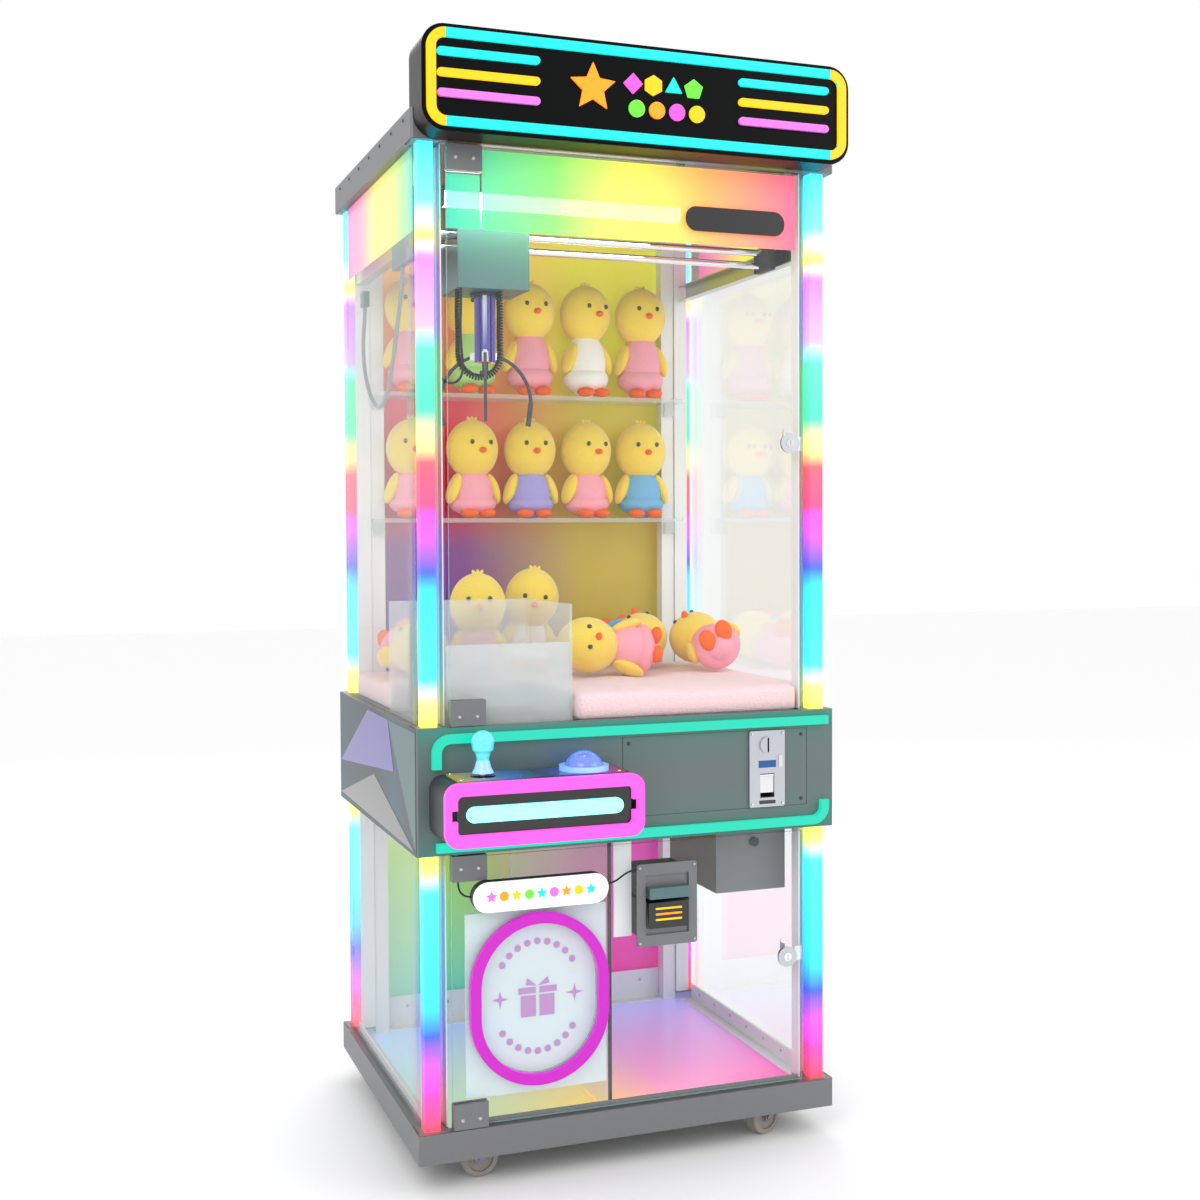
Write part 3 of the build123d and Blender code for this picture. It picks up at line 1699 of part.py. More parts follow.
with BuildPart() as sign_cables:
    cord_tube("left sign cable", left_sign_route, sign_cord_diameter)
    cord_tube("right sign cable", right_sign_route, sign_cord_diameter)
sign_cables.part.label = "sign_cables"
export_step(sign_cables.part, "parts/sign_cables.step")

# ---------------------------------------------------------------- plush prizes
chick_radius = 50
chick_body_radius = 46
chick_base_radius = 38
chick_neck_radius = 39
chick_heights = (195, 225)  # lower shelf, upper shelf
chick_pitch = 115
chick_count = 5


def chick(height):
    """Outline of a plush chick, standing on the origin."""
    neck_z = 0.45 * height
    head_z = 0.7 * height
    crown = dome_middle(chick_radius, head_z, height)
    with BuildPart() as body:
        with BuildSketch(Plane.XZ):
            with BuildLine():
                Line((0, 0), (chick_base_radius, 0))
                ThreePointArc(
                    (chick_base_radius, 0), (chick_body_radius, 0.2 * height), (chick_neck_radius, neck_z)
                )
                ThreePointArc(
                    (chick_neck_radius, neck_z),
                    (chick_radius - 4, (neck_z + head_z) / 2),
                    (chick_radius, head_z),
                )
                ThreePointArc((chick_radius, head_z), crown, (0, height))
                Line((0, height), (0, 0))
            make_face()
        revolve(axis=Axis.Z)
    return body.part


shelf_chick_y = back_front - 1 - chick_radius - 2
shelf_chicks = [chick(height) for height in chick_heights]
with BuildPart() as shelf_toys:
    for level, toy in zip(shelf_levels, shelf_chicks):
        for column in range(chick_count):
            chick_x = (column - (chick_count - 1) / 2) * chick_pitch
            with Locations((chick_x, shelf_chick_y, level + shelf_sheet + piece_gap)):
                add(toy)
shelf_toys.part.label = "shelf_toys"
export_step(shelf_toys.part, "parts/shelf_toys.step")

# Each toy on the bed: base x, y, height of the base above the bed, lean and turn in degrees.
bed_poses = (
    (-270, chute_rear + 226, 44, 84, 2),
    (-158, chute_rear + 96, 0.3, 0, 0),
    (-40, rear_y - 150, 8, 10, 20),
    (158, rear_y - 311, 44, 84, -90),
    (180, rear_y - 54, 44, 84, 0),
    (285, rear_y - 336, 44, 84, 180),
)
bed_level = deck_top + piece_gap + bed_thickness
bed_chick = chick(chick_heights[0])
with BuildPart() as bed_toys:
    for x, y, rise, lean, turn in bed_poses:
        upright = Location((x, y, bed_level + rise), (0, 0, turn))
        with Locations(upright * Location((0, 0, 0), (lean, 0, 0))):
            add(bed_chick)
bed_toys.part.label = "bed_toys"
export_step(bed_toys.part, "parts/bed_toys.step")
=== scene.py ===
"""Looks of the claw crane prize machine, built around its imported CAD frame."""

from math import cos, pi, radians, sin

import bmesh
import bpy
from bpy.props import FloatProperty, IntProperty, PointerProperty
from mathutils import Matrix, Vector, noise


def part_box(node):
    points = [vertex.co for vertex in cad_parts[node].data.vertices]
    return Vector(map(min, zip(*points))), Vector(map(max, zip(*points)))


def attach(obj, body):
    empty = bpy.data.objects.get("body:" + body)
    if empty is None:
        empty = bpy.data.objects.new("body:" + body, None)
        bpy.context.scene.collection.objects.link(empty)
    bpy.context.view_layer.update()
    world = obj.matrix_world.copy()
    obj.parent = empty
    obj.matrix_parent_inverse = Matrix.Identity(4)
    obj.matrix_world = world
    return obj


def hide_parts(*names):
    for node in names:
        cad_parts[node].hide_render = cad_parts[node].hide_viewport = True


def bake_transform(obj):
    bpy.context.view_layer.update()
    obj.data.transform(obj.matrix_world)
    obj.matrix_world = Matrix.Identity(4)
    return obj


bl_info = {
    "name": "Claw Crane Machine Looks",
    "version": (1, 0, 0),
    "blender": (4, 5, 0),
    "location": "3D View > Sidebar > Claw Crane",
    "description": "Builds materials, soft toys, cords, prints and stage for the claw crane machine",
    "category": "Object",
}

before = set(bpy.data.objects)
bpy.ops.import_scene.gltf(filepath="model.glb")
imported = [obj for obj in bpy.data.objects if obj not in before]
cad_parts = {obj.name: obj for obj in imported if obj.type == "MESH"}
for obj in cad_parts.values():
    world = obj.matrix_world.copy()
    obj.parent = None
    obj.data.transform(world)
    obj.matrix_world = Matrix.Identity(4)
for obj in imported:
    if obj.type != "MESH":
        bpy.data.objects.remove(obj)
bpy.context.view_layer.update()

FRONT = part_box("console_shell")[0].y
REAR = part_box("console_shell")[1].y
CANOPY_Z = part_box("top_frame")[0].z
CONSOLE_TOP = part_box("console_shell")[1].z
CONSOLE_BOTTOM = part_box("console_shell")[0].z
SKIRT_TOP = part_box("led_bars")[0].z

# Routes of the cords, in metres: the corner points of the CAD tubes.
GREY_X = -0.3395
GREY_ROUTE = [
    (GREY_X, y, z)
    for y, z in (
        (0.190, 1.4293), (0.193, 1.408), (0.204, 1.385), (0.209, 1.355), (0.200, 1.322), (0.176, 1.290),
        (0.140, 1.262), (0.097, 1.245), (0.052, 1.243), (0.012, 1.262), (-0.020, 1.298), (-0.049, 1.340),
        (-0.074, 1.382), (-0.094, 1.414), (-0.103, 1.436), (-0.105, 1.4554),
    )
]
BLACK_ROUTE = [
    (-0.2612, -0.148, 1.499), (-0.272, -0.1483, 1.4984), (-0.283, -0.1486, 1.493),
    (-0.290, -0.149, 1.483), (-0.293, -0.1493, 1.470), (-0.294, -0.1496, 1.448),
    (-0.293, -0.150, 1.408), (-0.2905, -0.1504, 1.368), (-0.2905, -0.1507, 1.328),
    (-0.293, -0.1509, 1.300), (-0.292, -0.151, 1.278), (-0.281, -0.151, 1.267),
    (-0.265, -0.1506, 1.267), (-0.254, -0.150, 1.278), (-0.252, -0.1495, 1.300),
    (-0.255, -0.1492, 1.328), (-0.256, -0.149, 1.360), (-0.2545, -0.1486, 1.392),
    (-0.2543, -0.1484, 1.4196),
]
COIL_ROUTE = [
    (-0.184, -0.126, 1.4196), (-0.1828, -0.1264, 1.384), (-0.1838, -0.1268, 1.345),
    (-0.183, -0.127, 1.301), (-0.204, -0.1273, 1.280), (-0.233, -0.1273, 1.280),
    (-0.254, -0.127, 1.301), (-0.253, -0.1268, 1.345), (-0.2543, -0.1264, 1.384),
    (-0.253, -0.126, 1.4196),
]
LEFT_SIGN_ROUTE = [
    (-0.2754, -0.258, 0.462), (-0.2805, -0.2566, 0.4626), (-0.2865, -0.255, 0.465),
    (-0.2915, -0.2538, 0.470), (-0.294, -0.253, 0.477), (-0.2945, -0.2526, 0.4856),
]
RIGHT_SIGN_ROUTE = [
    (-0.0506, -0.256, 0.463), (-0.036, -0.256, 0.465), (-0.022, -0.2545, 0.474),
    (-0.009, -0.2526, 0.480), (0.0032, -0.252, 0.4815),
]
CLAW_AXIS = (-0.201, FRONT + 0.156)

# Light columns: height in metres and colour of the light there.
LED_STOPS = [
    (0.096, "ff3448"), (0.150, "ff2a96"), (0.200, "b040ff"), (0.245, "2446ff"), (0.290, "18b4ff"),
    (0.470, "30e4ff"), (0.500, "d8f070"), (0.529, "ffe64a"), (0.727, "ffe94a"), (0.765, "e4f070"),
    (0.800, "30e4ff"), (0.930, "18c0ff"), (0.965, "2446ff"), (1.030, "c040ff"), (1.070, "ff3468"),
    (1.135, "ff4458"), (1.165, "ffd07a"), (1.215, "30f094"), (1.310, "48f09c"), (1.345, "b090ff"),
    (1.450, "b468ff"), (1.482, "fff04a"), (1.535, "60ecff"), (1.625, "30dcff"),
]


# ---------------------------------------------------------------- materials
def colour(code):
    """Linear RGBA of an sRGB hex code."""
    parts = [int(code[i : i + 2], 16) / 255 for i in (0, 2, 4)]
    return tuple(c / 12.92 if c <= 0.04045 else ((c + 0.055) / 1.055) ** 2.4 for c in parts) + (1.0,)


def surface(name, code, rough, metal=0.0, alpha=1.0, light=0.0, light_code=None, coat=0.0, bump=None, sheen=0.0,
            gloss=0.5):
    """Principled material: bump is (scale per metre, depth in metres) of fine surface grain."""
    found = bpy.data.materials.get(name)
    if found:
        return found
    made = bpy.data.materials.new(name)
    made.use_nodes = True
    shader = made.node_tree.nodes["Principled BSDF"]
    shader.inputs["Base Color"].default_value = colour(code)
    shader.inputs["Roughness"].default_value = rough
    shader.inputs["Metallic"].default_value = metal
    shader.inputs["Alpha"].default_value = alpha
    shader.inputs["Coat Weight"].default_value = coat
    shader.inputs["Sheen Weight"].default_value = sheen
    shader.inputs["Specular IOR Level"].default_value = gloss
    if light:
        shader.inputs["Emission Color"].default_value = colour(light_code or code)
        shader.inputs["Emission Strength"].default_value = light
    if bump:
        grain(made, *bump)
    return made


def grain(made, scale, depth):
    """Fine noise relief on a material."""
    nodes, links = made.node_tree.nodes, made.node_tree.links
    place = nodes.new("ShaderNodeTexCoord")
    pattern = nodes.new("ShaderNodeTexNoise")
    pattern.inputs["Scale"].default_value = scale
    pattern.inputs["Detail"].default_value = 4
    relief = nodes.new("ShaderNodeBump")
    relief.inputs["Distance"].default_value = depth
    links.new(place.outputs["Object"], pattern.inputs["Vector"])
    links.new(pattern.outputs["Fac"], relief.inputs["Height"])
    links.new(relief.outputs["Normal"], nodes["Principled BSDF"].inputs["Normal"])


def ramp(made, axis, stops):
    """Colour ramp along one axis (0, 1 or 2) of the row frame: stops are (metres, hex)."""
    nodes, links = made.node_tree.nodes, made.node_tree.links
    place = nodes.new("ShaderNodeTexCoord")
    split = nodes.new("ShaderNodeSeparateXYZ")
    span = nodes.new("ShaderNodeMapRange")
    table = nodes.new("ShaderNodeValToRGB")
    low, high = stops[0][0], stops[-1][0]
    span.inputs["From Min"].default_value = low
    span.inputs["From Max"].default_value = high
    elements = table.color_ramp.elements
    while len(elements) > 1:
        elements.remove(elements[-1])
    elements[0].position = 0.0
    elements[0].color = colour(stops[0][1])
    for at, code in stops[1:]:
        elements.new((at - low) / (high - low)).color = colour(code)
    links.new(place.outputs["Object"], split.inputs["Vector"])
    links.new(split.outputs[axis], span.inputs["Value"])
    links.new(span.outputs["Result"], table.inputs["Fac"])
    return table.outputs["Color"]


def printed(name, axis, stops, rough=0.3, light=0.0, second=None, alpha=1.0):
    """Printed colour run: second is (axis, stops, blend axis, low, high) of a second run it turns into."""
    if name in bpy.data.materials:
        return bpy.data.materials[name]
    made = surface(name, "ffffff", rough, alpha=alpha)
    nodes, links = made.node_tree.nodes, made.node_tree.links
    shade = ramp(made, axis, stops)
    if second:
        other = ramp(made, second[0], second[1])
        share = ramp(made, second[2], [(second[3], "000000"), (second[4], "ffffff")])
        mix = nodes.new("ShaderNodeMix")
        mix.data_type = "RGBA"
        links.new(share, mix.inputs["Factor"])
        links.new(shade, mix.inputs[6])
        links.new(other, mix.inputs[7])
        shade = mix.outputs[2]
    shader = nodes["Principled BSDF"]
    links.new(shade, shader.inputs["Base Color"])
    if light:
        links.new(shade, shader.inputs["Emission Color"])
        shader.inputs["Emission Strength"].default_value = light
    return made


def mirror_glass(name, share):
    """Clear glass that throws back a share of what stands in front of it."""
    made = surface(name, "f2f8f8", 0.01, metal=1.0, alpha=share)
    return made


def finish_set():
    """Every finish by name."""
    settings = bpy.context.scene.claw_crane
    glow = settings.light_strength
    back_left = [
        (0.096, "48c8b8"), (0.400, "b0e060"), (0.529, "f4f06a"), (0.727, "3a2a90"), (1.000, "7a2a80"),
        (1.060, "c01848"), (1.280, "d83a50"), (1.340, "f0a070"), (1.625, "f8c060"),
    ]
    back_right = [
        (0.096, "e838a8"), (0.400, "e040b0"), (0.500, "f0e860"), (0.727, "a89020"), (1.040, "b8a028"),
        (1.280, "c8b830"), (1.400, "d8dc40"), (1.625, "f0e850"),
    ]
    return {
        # powder coat on folded steel
        "steel": surface("grey_powder_coat", "77787a", 0.42, metal=0.35, bump=(1400, 0.00003)),
        "steel_dark": surface("dark_powder_coat", "3e4246", 0.45, metal=0.3, bump=(1400, 0.00003)),
        # cabinet core, extruded and coated white
        "white_metal": surface("white_coated_aluminium", "eceef0", 0.35),
        # light columns behind clear covers
        "led": printed("light_column", 2, LED_STOPS, 0.5, glow * 1.15),
        # clear post cover and toughened glass
        "cover": surface("clear_post_cover", "f4ffff", 0.04, alpha=0.025),
        "glass": surface("toughened_glass", "e8fffa", 0.02, alpha=0.022),
        "glass_edge": surface("polished_glass_edge", "8cc8b8", 0.15, alpha=0.55),
        "side_glass": mirror_glass("side_glass", 0.16),
        "acrylic": surface("clear_acrylic", "f4fcff", 0.04, alpha=0.022),
        # back of the cabinet, printed colour runs, with a faint glow painted on for the light that falls on them from
        # in front
        "back": printed("back_print_and_painted_glow", 2, back_left, 0.3, 0.25, (2, back_right, 0, -0.12, 0.12)),
        "back_plain": surface("back_sheet_outside", "9a9c9e", 0.5),
        # floor print: printed colour runs, with a faint glow painted on for the light inside the cabinet
        "floor_print_painted_glow": printed(
            "floor_print_painted_glow", 0, [(-0.35, "a8e0d0"), (-0.05, "ffe070"), (0.10, "ff9ac8"), (0.35, "f040b0")],
            0.25, 0.35, (0, [(-0.35, "9cc8f0"), (0.35, "b8a8f4")], 1, -0.16, 0.28),
        ),
        # lit film along the top of the door and sides
        "valance": printed(
            "door_valance_film", 0,
            [(-0.300, "38c8a8"), (-0.130, "88e070"), (0.0, "f4f060"), (0.130, "ffb45a"), (0.300, "f4588c")],
            0.3, 0.45, alpha=0.85,
        ),
        "side_valance": printed(
            "side_valance_film", 1,
            [(-0.200, "48d4b0"), (-0.080, "d8f060"), (0.060, "fff05a"), (0.180, "f4a0b8"), (0.300, "e868c0")],
            0.3, 0.45, alpha=0.85,
        ),
        "label": surface("black_label", "08080a", 0.3, coat=0.5),
        # sign
        "sign": surface("black_gloss_sign", "020304", 0.3, gloss=0.12),
        "cyan": surface("cyan_light", "045454", 0.4, light=glow * 1.15, light_code="00e8e4"),
        "yellow": surface("yellow_light", "604800", 0.4, light=glow * 1.15, light_code="ffd000"),
        "magenta": surface("magenta_light", "50084c", 0.4, light=glow * 1.15, light_code="f010e8"),
        "magenta_ring": surface("magenta_ring_light", "50084c", 0.4, light=glow * 0.85, light_code="d810d0"),
        "pink": surface("pink_light", "60205c", 0.4, light=glow * 1.15, light_code="ff5ad8"),
        "teal": surface("teal_light", "064a40", 0.4, light=glow * 1.05, light_code="14d4b4"),
        "ice": surface("ice_light", "90fff0", 0.4, light=glow * 1.2, light_code="78f8f0"),
        "orange": surface("orange_light", "ff8410", 0.4, light=glow * 0.95),
        "green": surface("green_light", "58e030", 0.4, light=glow * 0.95),
        "white_light": surface("white_light", "ffffff", 0.4, light=glow * 16.0),
        "soft_white": surface("soft_white_light", "f4f4f4", 0.4, light=0.2, light_code="ffffff"),
        # console
        "side_print": printed(
            "console_side_print", 1, [(-0.256, "1c2c30"), (-0.10, "28485c"), (0.05, "10282e"), (0.356, "1e4450")],
            0.35, 0.0,
        ),
        # control top print: printed colour runs, with a faint glow painted on for the light that falls on them
        "top_print": printed(
            "control_top_print_painted_glow", 0,
            [(-0.32, "b8a830"), (-0.24, "3878b8"), (-0.18, "28405c"), (-0.12, "5058c0"), (-0.04, "b03848")],
            0.25, 0.15,
        ),
        # console front: plain grey, with the teal light of the strips along its top and bottom edges painted on near
        # those edges
        "console_front": printed(
            "console_front_painted_glow", 2,
            [(0.529, "3c7c72"), (0.560, "58706c"), (0.630, "626a6a"), (0.690, "58706c"), (0.727, "3c8478")], 0.4,
        ),
        "panel_black": surface("black_panel", "0c0e10", 0.2, coat=0.5),
        "knob": surface("glitter_knob", "58d0d0", 0.15, light=0.5, light_code="40c8d0", coat=1.0, bump=(900, 0.0006)),
        "button": surface("lit_button", "5c70f8", 0.15, light=1.1, light_code="4858ff", coat=1.0),
        "button_rim": surface("button_rim", "9ac8ff", 0.2, light=0.5, light_code="70a8ff", coat=0.6),
        "chrome": surface("chrome", "dadde2", 0.12, metal=1.0),
        "satin": surface("satin_steel", "c2c6cc", 0.32, metal=1.0, bump=(1800, 0.00002)),
        "display": surface("small_display", "102040", 0.2, light=0.8, light_code="2060a0"),
        "black": surface("black_plastic", "0c0c0e", 0.4),
        "wheel": surface("castor_rubber", "98908a", 0.6, bump=(600, 0.00008)),
        "fork": surface("zinc_fork", "8a8492", 0.35, metal=0.9),
        "flap": surface("frosted_flap", "e4f4f6", 0.35, alpha=0.6),
        "mauve": surface("mauve_print", "b890c0", 0.5),
        # crane
        "crane": surface("crane_teal", "587678", 0.35, metal=0.3),
        "claw_purple": surface("claw_tinted_chrome", "6a60b0", 0.2, metal=1.0),
        # plush toys and padded bed
        "fur_yellow": surface("plush_yellow", "fcdc50", 0.95, bump=(420, 0.0016), sheen=0.5),
        "cloth_pink": surface("smock_pink", "f8a8b8", 0.9, bump=(300, 0.0010)),
        "cloth_blue": surface("smock_blue", "78b4e0", 0.9, bump=(300, 0.0010)),
        "cloth_lilac": surface("smock_lilac", "a8a0e0", 0.9, bump=(300, 0.0010)),
        "cloth_green": surface("smock_green", "b0e088", 0.9, bump=(300, 0.0010)),
        "cloth_white": surface("smock_white", "fbf8f4", 0.9, bump=(300, 0.0008)),
        "beak": surface("felt_orange", "fa6a14", 0.85, bump=(500, 0.0005)),
        "eye": surface("bead_eye", "060606", 0.08, coat=1.0),
        "bed": surface("bed_pink_plush", "fad4d8", 0.95, bump=(260, 0.0022), sheen=0.6),
        "cable_grey": surface("grey_cable_jacket", "8a9098", 0.5),
        "cable_black": surface("black_cable_jacket", "0a0a0c", 0.45),
    }


def dress(node, material, rule=None):
    """Gives a CAD node its finish; rule(centre, normal) may name another finish for a face."""
    finishes = finish_set()
    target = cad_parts[node].data
    target.materials.clear()
    used = [material]
    target.materials.append(finishes[material])
    for face in target.polygons:
        wanted = (rule(face.center, face.normal) if rule else None) or material
        if wanted not in used:
            used.append(wanted)
            target.materials.append(finishes[wanted])
        face.material_index = used.index(wanted)


# ---------------------------------------------------------------- mesh helpers
def piece(name, mesh_data, body, materials, smooth=False):
    """Object from a bmesh, riding on a CAD body."""
    mesh = bpy.data.meshes.new(name)
    bmesh.ops.recalc_face_normals(mesh_data, faces=mesh_data.faces)
    mesh_data.to_mesh(mesh)
    mesh_data.free()
    finishes = finish_set()
    for key in materials:
        mesh.materials.append(finishes[key])
    if smooth:
        mesh.polygons.foreach_set("use_smooth", [True] * len(mesh.polygons))
    made = bpy.data.objects.new(name, mesh)
    bpy.context.scene.collection.objects.link(made)
    if body:
        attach(made, body)
    return made


def prism(name, outline, low, high, body, material, axis="y"):
    """Flat shape from an outline of (across, up) points, between two depths along an axis."""
    shape = bmesh.new()
    rings = []
    for depth in (low, high):
        if axis == "y":
            rings.append([shape.verts.new((a, depth, b)) for a, b in outline])
        elif axis == "x":
            rings.append([shape.verts.new((depth, a, b)) for a, b in outline])
        else:
            rings.append([shape.verts.new((a, b, depth)) for a, b in outline])
    count = len(outline)
    shape.faces.new(rings[0])
    shape.faces.new(rings[1])
    for i in range(count):
        j = (i + 1) % count
        shape.faces.new((rings[0][i], rings[0][j], rings[1][j], rings[1][i]))
    return piece(name, shape, body, [material])


def oblong(x, z, width, height, radius, steps=8):
    """Outline of a rectangle with round corners."""
    points = []
    for corner, (sx, sz) in enumerate(((1, 1), (-1, 1), (-1, -1), (1, -1))):
        for step in range(steps + 1):
            turn = pi / 2 * (corner + step / steps)
            points.append(
                (x + sx * (width / 2 - radius) + radius * cos(turn), z + sz * (height / 2 - radius) + radius * sin(turn))
            )
    return points


def star(x, z, outer, inner, tips):
    """Outline of a star."""
    return [
        (
            x + (outer if i % 2 == 0 else inner) * cos(pi / 2 + pi * i / tips),
            z + (outer if i % 2 == 0 else inner) * sin(pi / 2 + pi * i / tips),
        )
        for i in range(2 * tips)
    ]


def ball(shape, centre, radii, index, turn=0.0, segments=28):
    """Ellipsoid added to a bmesh with one material index."""
    matrix = Matrix.Translation(centre) @ Matrix.Rotation(turn, 4, "Y") @ Matrix.Diagonal((*radii, 1))
    made = bmesh.ops.create_uvsphere(shape, u_segments=segments, v_segments=segments // 2 + 2, radius=1, matrix=matrix)
    for vertex in made["verts"]:
        for face in vertex.link_faces:
            face.material_index = index


def cord_curve(name, route, diameter, material, body, node):
    """Cord as a NURBS curve through the control polygon of its CAD tube."""
    data = bpy.data.curves.new(name, "CURVE")
    data.dimensions = "3D"
    data.bevel_depth = diameter / 2
    data.bevel_resolution = 4
    data.use_fill_caps = True
    data.resolution_u = 12
    line = data.splines.new("NURBS")
    line.points.add(len(route) - 1)
    for point, place in zip(line.points, route):
        point.co = (*place, 1)
    line.order_u = 3
    line.use_endpoint_u = True
    data.materials.append(finish_set()[material])
    made = bpy.data.objects.new(name, data)
    bpy.context.scene.collection.objects.link(made)
    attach(made, body)
    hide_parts(node)
    return made


def smooth_route(route, steps=14):
    """Points along the quadratic B-spline of a control polygon."""
    points = [Vector(p) for p in route]
    path = [points[0]]
    for i in range(1, len(points) - 1):
        start = points[0] if i == 1 else (points[i - 1] + points[i]) / 2
        end = points[-1] if i == len(points) - 2 else (points[i] + points[i + 1]) / 2
        for step in range(1, steps + 1):
            t = step / steps
            path.append((1 - t) ** 2 * start + 2 * t * (1 - t) * points[i] + t * t * end)
    return path


def fastener_tree():
    """Geometry node group that puts a round-headed screw on every vertex."""
    tree = bpy.data.node_groups.get("Fasteners")
    if tree:
        return tree
    tree = bpy.data.node_groups.new("Fasteners", "GeometryNodeTree")
    face = tree.interface
    face.new_socket("Geometry", in_out="INPUT", socket_type="NodeSocketGeometry")
    face.new_socket("Head Radius", in_out="INPUT", socket_type="NodeSocketFloat")
    face.new_socket("Head Height", in_out="INPUT", socket_type="NodeSocketFloat")
    face.new_socket("Direction", in_out="INPUT", socket_type="NodeSocketVector")
    face.new_socket("Finish", in_out="INPUT", socket_type="NodeSocketMaterial")
    face.new_socket("Geometry", in_out="OUTPUT", socket_type="NodeSocketGeometry")
    nodes, links = tree.nodes, tree.links
    inside = nodes.new("NodeGroupInput")
    outside = nodes.new("NodeGroupOutput")
    head = nodes.new("GeometryNodeMeshCone")
    head.inputs["Vertices"].default_value = 16
    taper = nodes.new("ShaderNodeMath")
    taper.operation = "MULTIPLY"
    taper.inputs[1].default_value = 0.7
    align = nodes.new("FunctionNodeAlignRotationToVector")
    align.axis = "Z"
    place = nodes.new("GeometryNodeInstanceOnPoints")
    real = nodes.new("GeometryNodeRealizeInstances")
    paint = nodes.new("GeometryNodeSetMaterial")
    links.new(inside.outputs["Head Radius"], head.inputs["Radius Bottom"])
    links.new(inside.outputs["Head Radius"], taper.inputs[0])
    links.new(taper.outputs[0], head.inputs["Radius Top"])
    links.new(inside.outputs["Head Height"], head.inputs["Depth"])
    links.new(inside.outputs["Direction"], align.inputs["Vector"])
    links.new(inside.outputs["Geometry"], place.inputs["Points"])
    links.new(head.outputs["Mesh"], place.inputs["Instance"])
    links.new(align.outputs["Rotation"], place.inputs["Rotation"])
    links.new(place.outputs["Instances"], real.inputs["Geometry"])
    links.new(real.outputs["Geometry"], paint.inputs["Geometry"])
    links.new(inside.outputs["Finish"], paint.inputs["Material"])
    links.new(paint.outputs["Geometry"], outside.inputs["Geometry"])
    return tree


def fasteners(name, points, direction, radius, height, material, body):
    """Row of fasteners at points on a surface, facing a direction."""
    tree = fastener_tree()
    mesh = bpy.data.meshes.new(name + "_points")
    mesh.from_pydata([tuple(p) for p in points], [], [])
    base = bpy.data.objects.new(name + "_points", mesh)
    bpy.context.scene.collection.objects.link(base)
    modifier = base.modifiers.new("Fasteners", "NODES")
    modifier.node_group = tree
    values = {
        "Head Radius": radius,
        "Head Height": height,
        "Direction": direction,
        "Finish": finish_set()[material],
    }
    for item in tree.interface.items_tree:
        if item.in_out == "INPUT" and item.name in values:
            modifier[item.identifier] = values[item.name]
    graph = bpy.context.evaluated_depsgraph_get()
    made_mesh = bpy.data.meshes.new_from_object(base.evaluated_get(graph), depsgraph=graph)
    made_mesh.name = name
    made = bpy.data.objects.new(name, made_mesh)
    bpy.context.scene.collection.objects.link(made)
    bpy.data.objects.remove(base)
    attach(made, body)
    return made


# ---------------------------------------------------------------- settings
class ClawCraneSettings(bpy.types.PropertyGroup):
    """Sizes and strengths of the looks."""

    light_strength: FloatProperty(
        name="Light strength", description="Brightness of the coloured lights", default=1.0, min=0.0, max=5.0
    )
    world_strength: FloatProperty(
        name="Studio brightness", description="Brightness of the surroundings", default=1.0, min=0.0, max=3.0
    )
    pile_height: FloatProperty(
        name="Bed pile", description="Height of the lumps in the padded bed", default=0.004, unit="LENGTH"
    )
    wire_radius: FloatProperty(
        name="Coil wire radius", description="Radius of the wire of the curly cable", default=0.0019, unit="LENGTH"
    )
    coil_pitch: FloatProperty(
        name="Coil pitch", description="Distance from turn to turn of the curly cable", default=0.0046, unit="LENGTH"
    )
    seed: IntProperty(name="Seed", description="Seed of the lumps in the bed", default=7)


# ---------------------------------------------------------------- operators
class CLAWCRANE_OT_camera(bpy.types.Operator):
    """Camera at the eye point the machine is seen from"""

    bl_idname = "claw_crane.camera"
    bl_label = "Camera"

    def execute(self, context):
        yaw, pitch, roll = radians(20.633), radians(1.780), radians(-0.258)
        right = Vector((cos(yaw), -sin(yaw), 0))
        ahead = Vector((sin(yaw) * cos(pitch), cos(yaw) * cos(pitch), -sin(pitch)))
        up = right.cross(ahead)
        across = right * cos(roll) + up * sin(roll)
        above = -right * sin(roll) + up * cos(roll)
        data = bpy.data.cameras.new("Camera")
        data.sensor_width = 36
        data.lens = 47.0
        data.shift_x = -0.0099
        data.shift_y = -0.0175
        data.clip_start = 0.05
        data.clip_end = 60
        camera = bpy.data.objects.new("Camera", data)
        context.scene.collection.objects.link(camera)
        camera.matrix_world = Matrix.Translation((-0.9196, -2.5959, 1.0300)) @ Matrix(
            (
                (across.x, above.x, -ahead.x, 0),
                (across.y, above.y, -ahead.y, 0),
                (across.z, above.z, -ahead.z, 0),
                (0, 0, 0, 1),
            )
        )
        context.scene.camera = camera
        return {"FINISHED"}


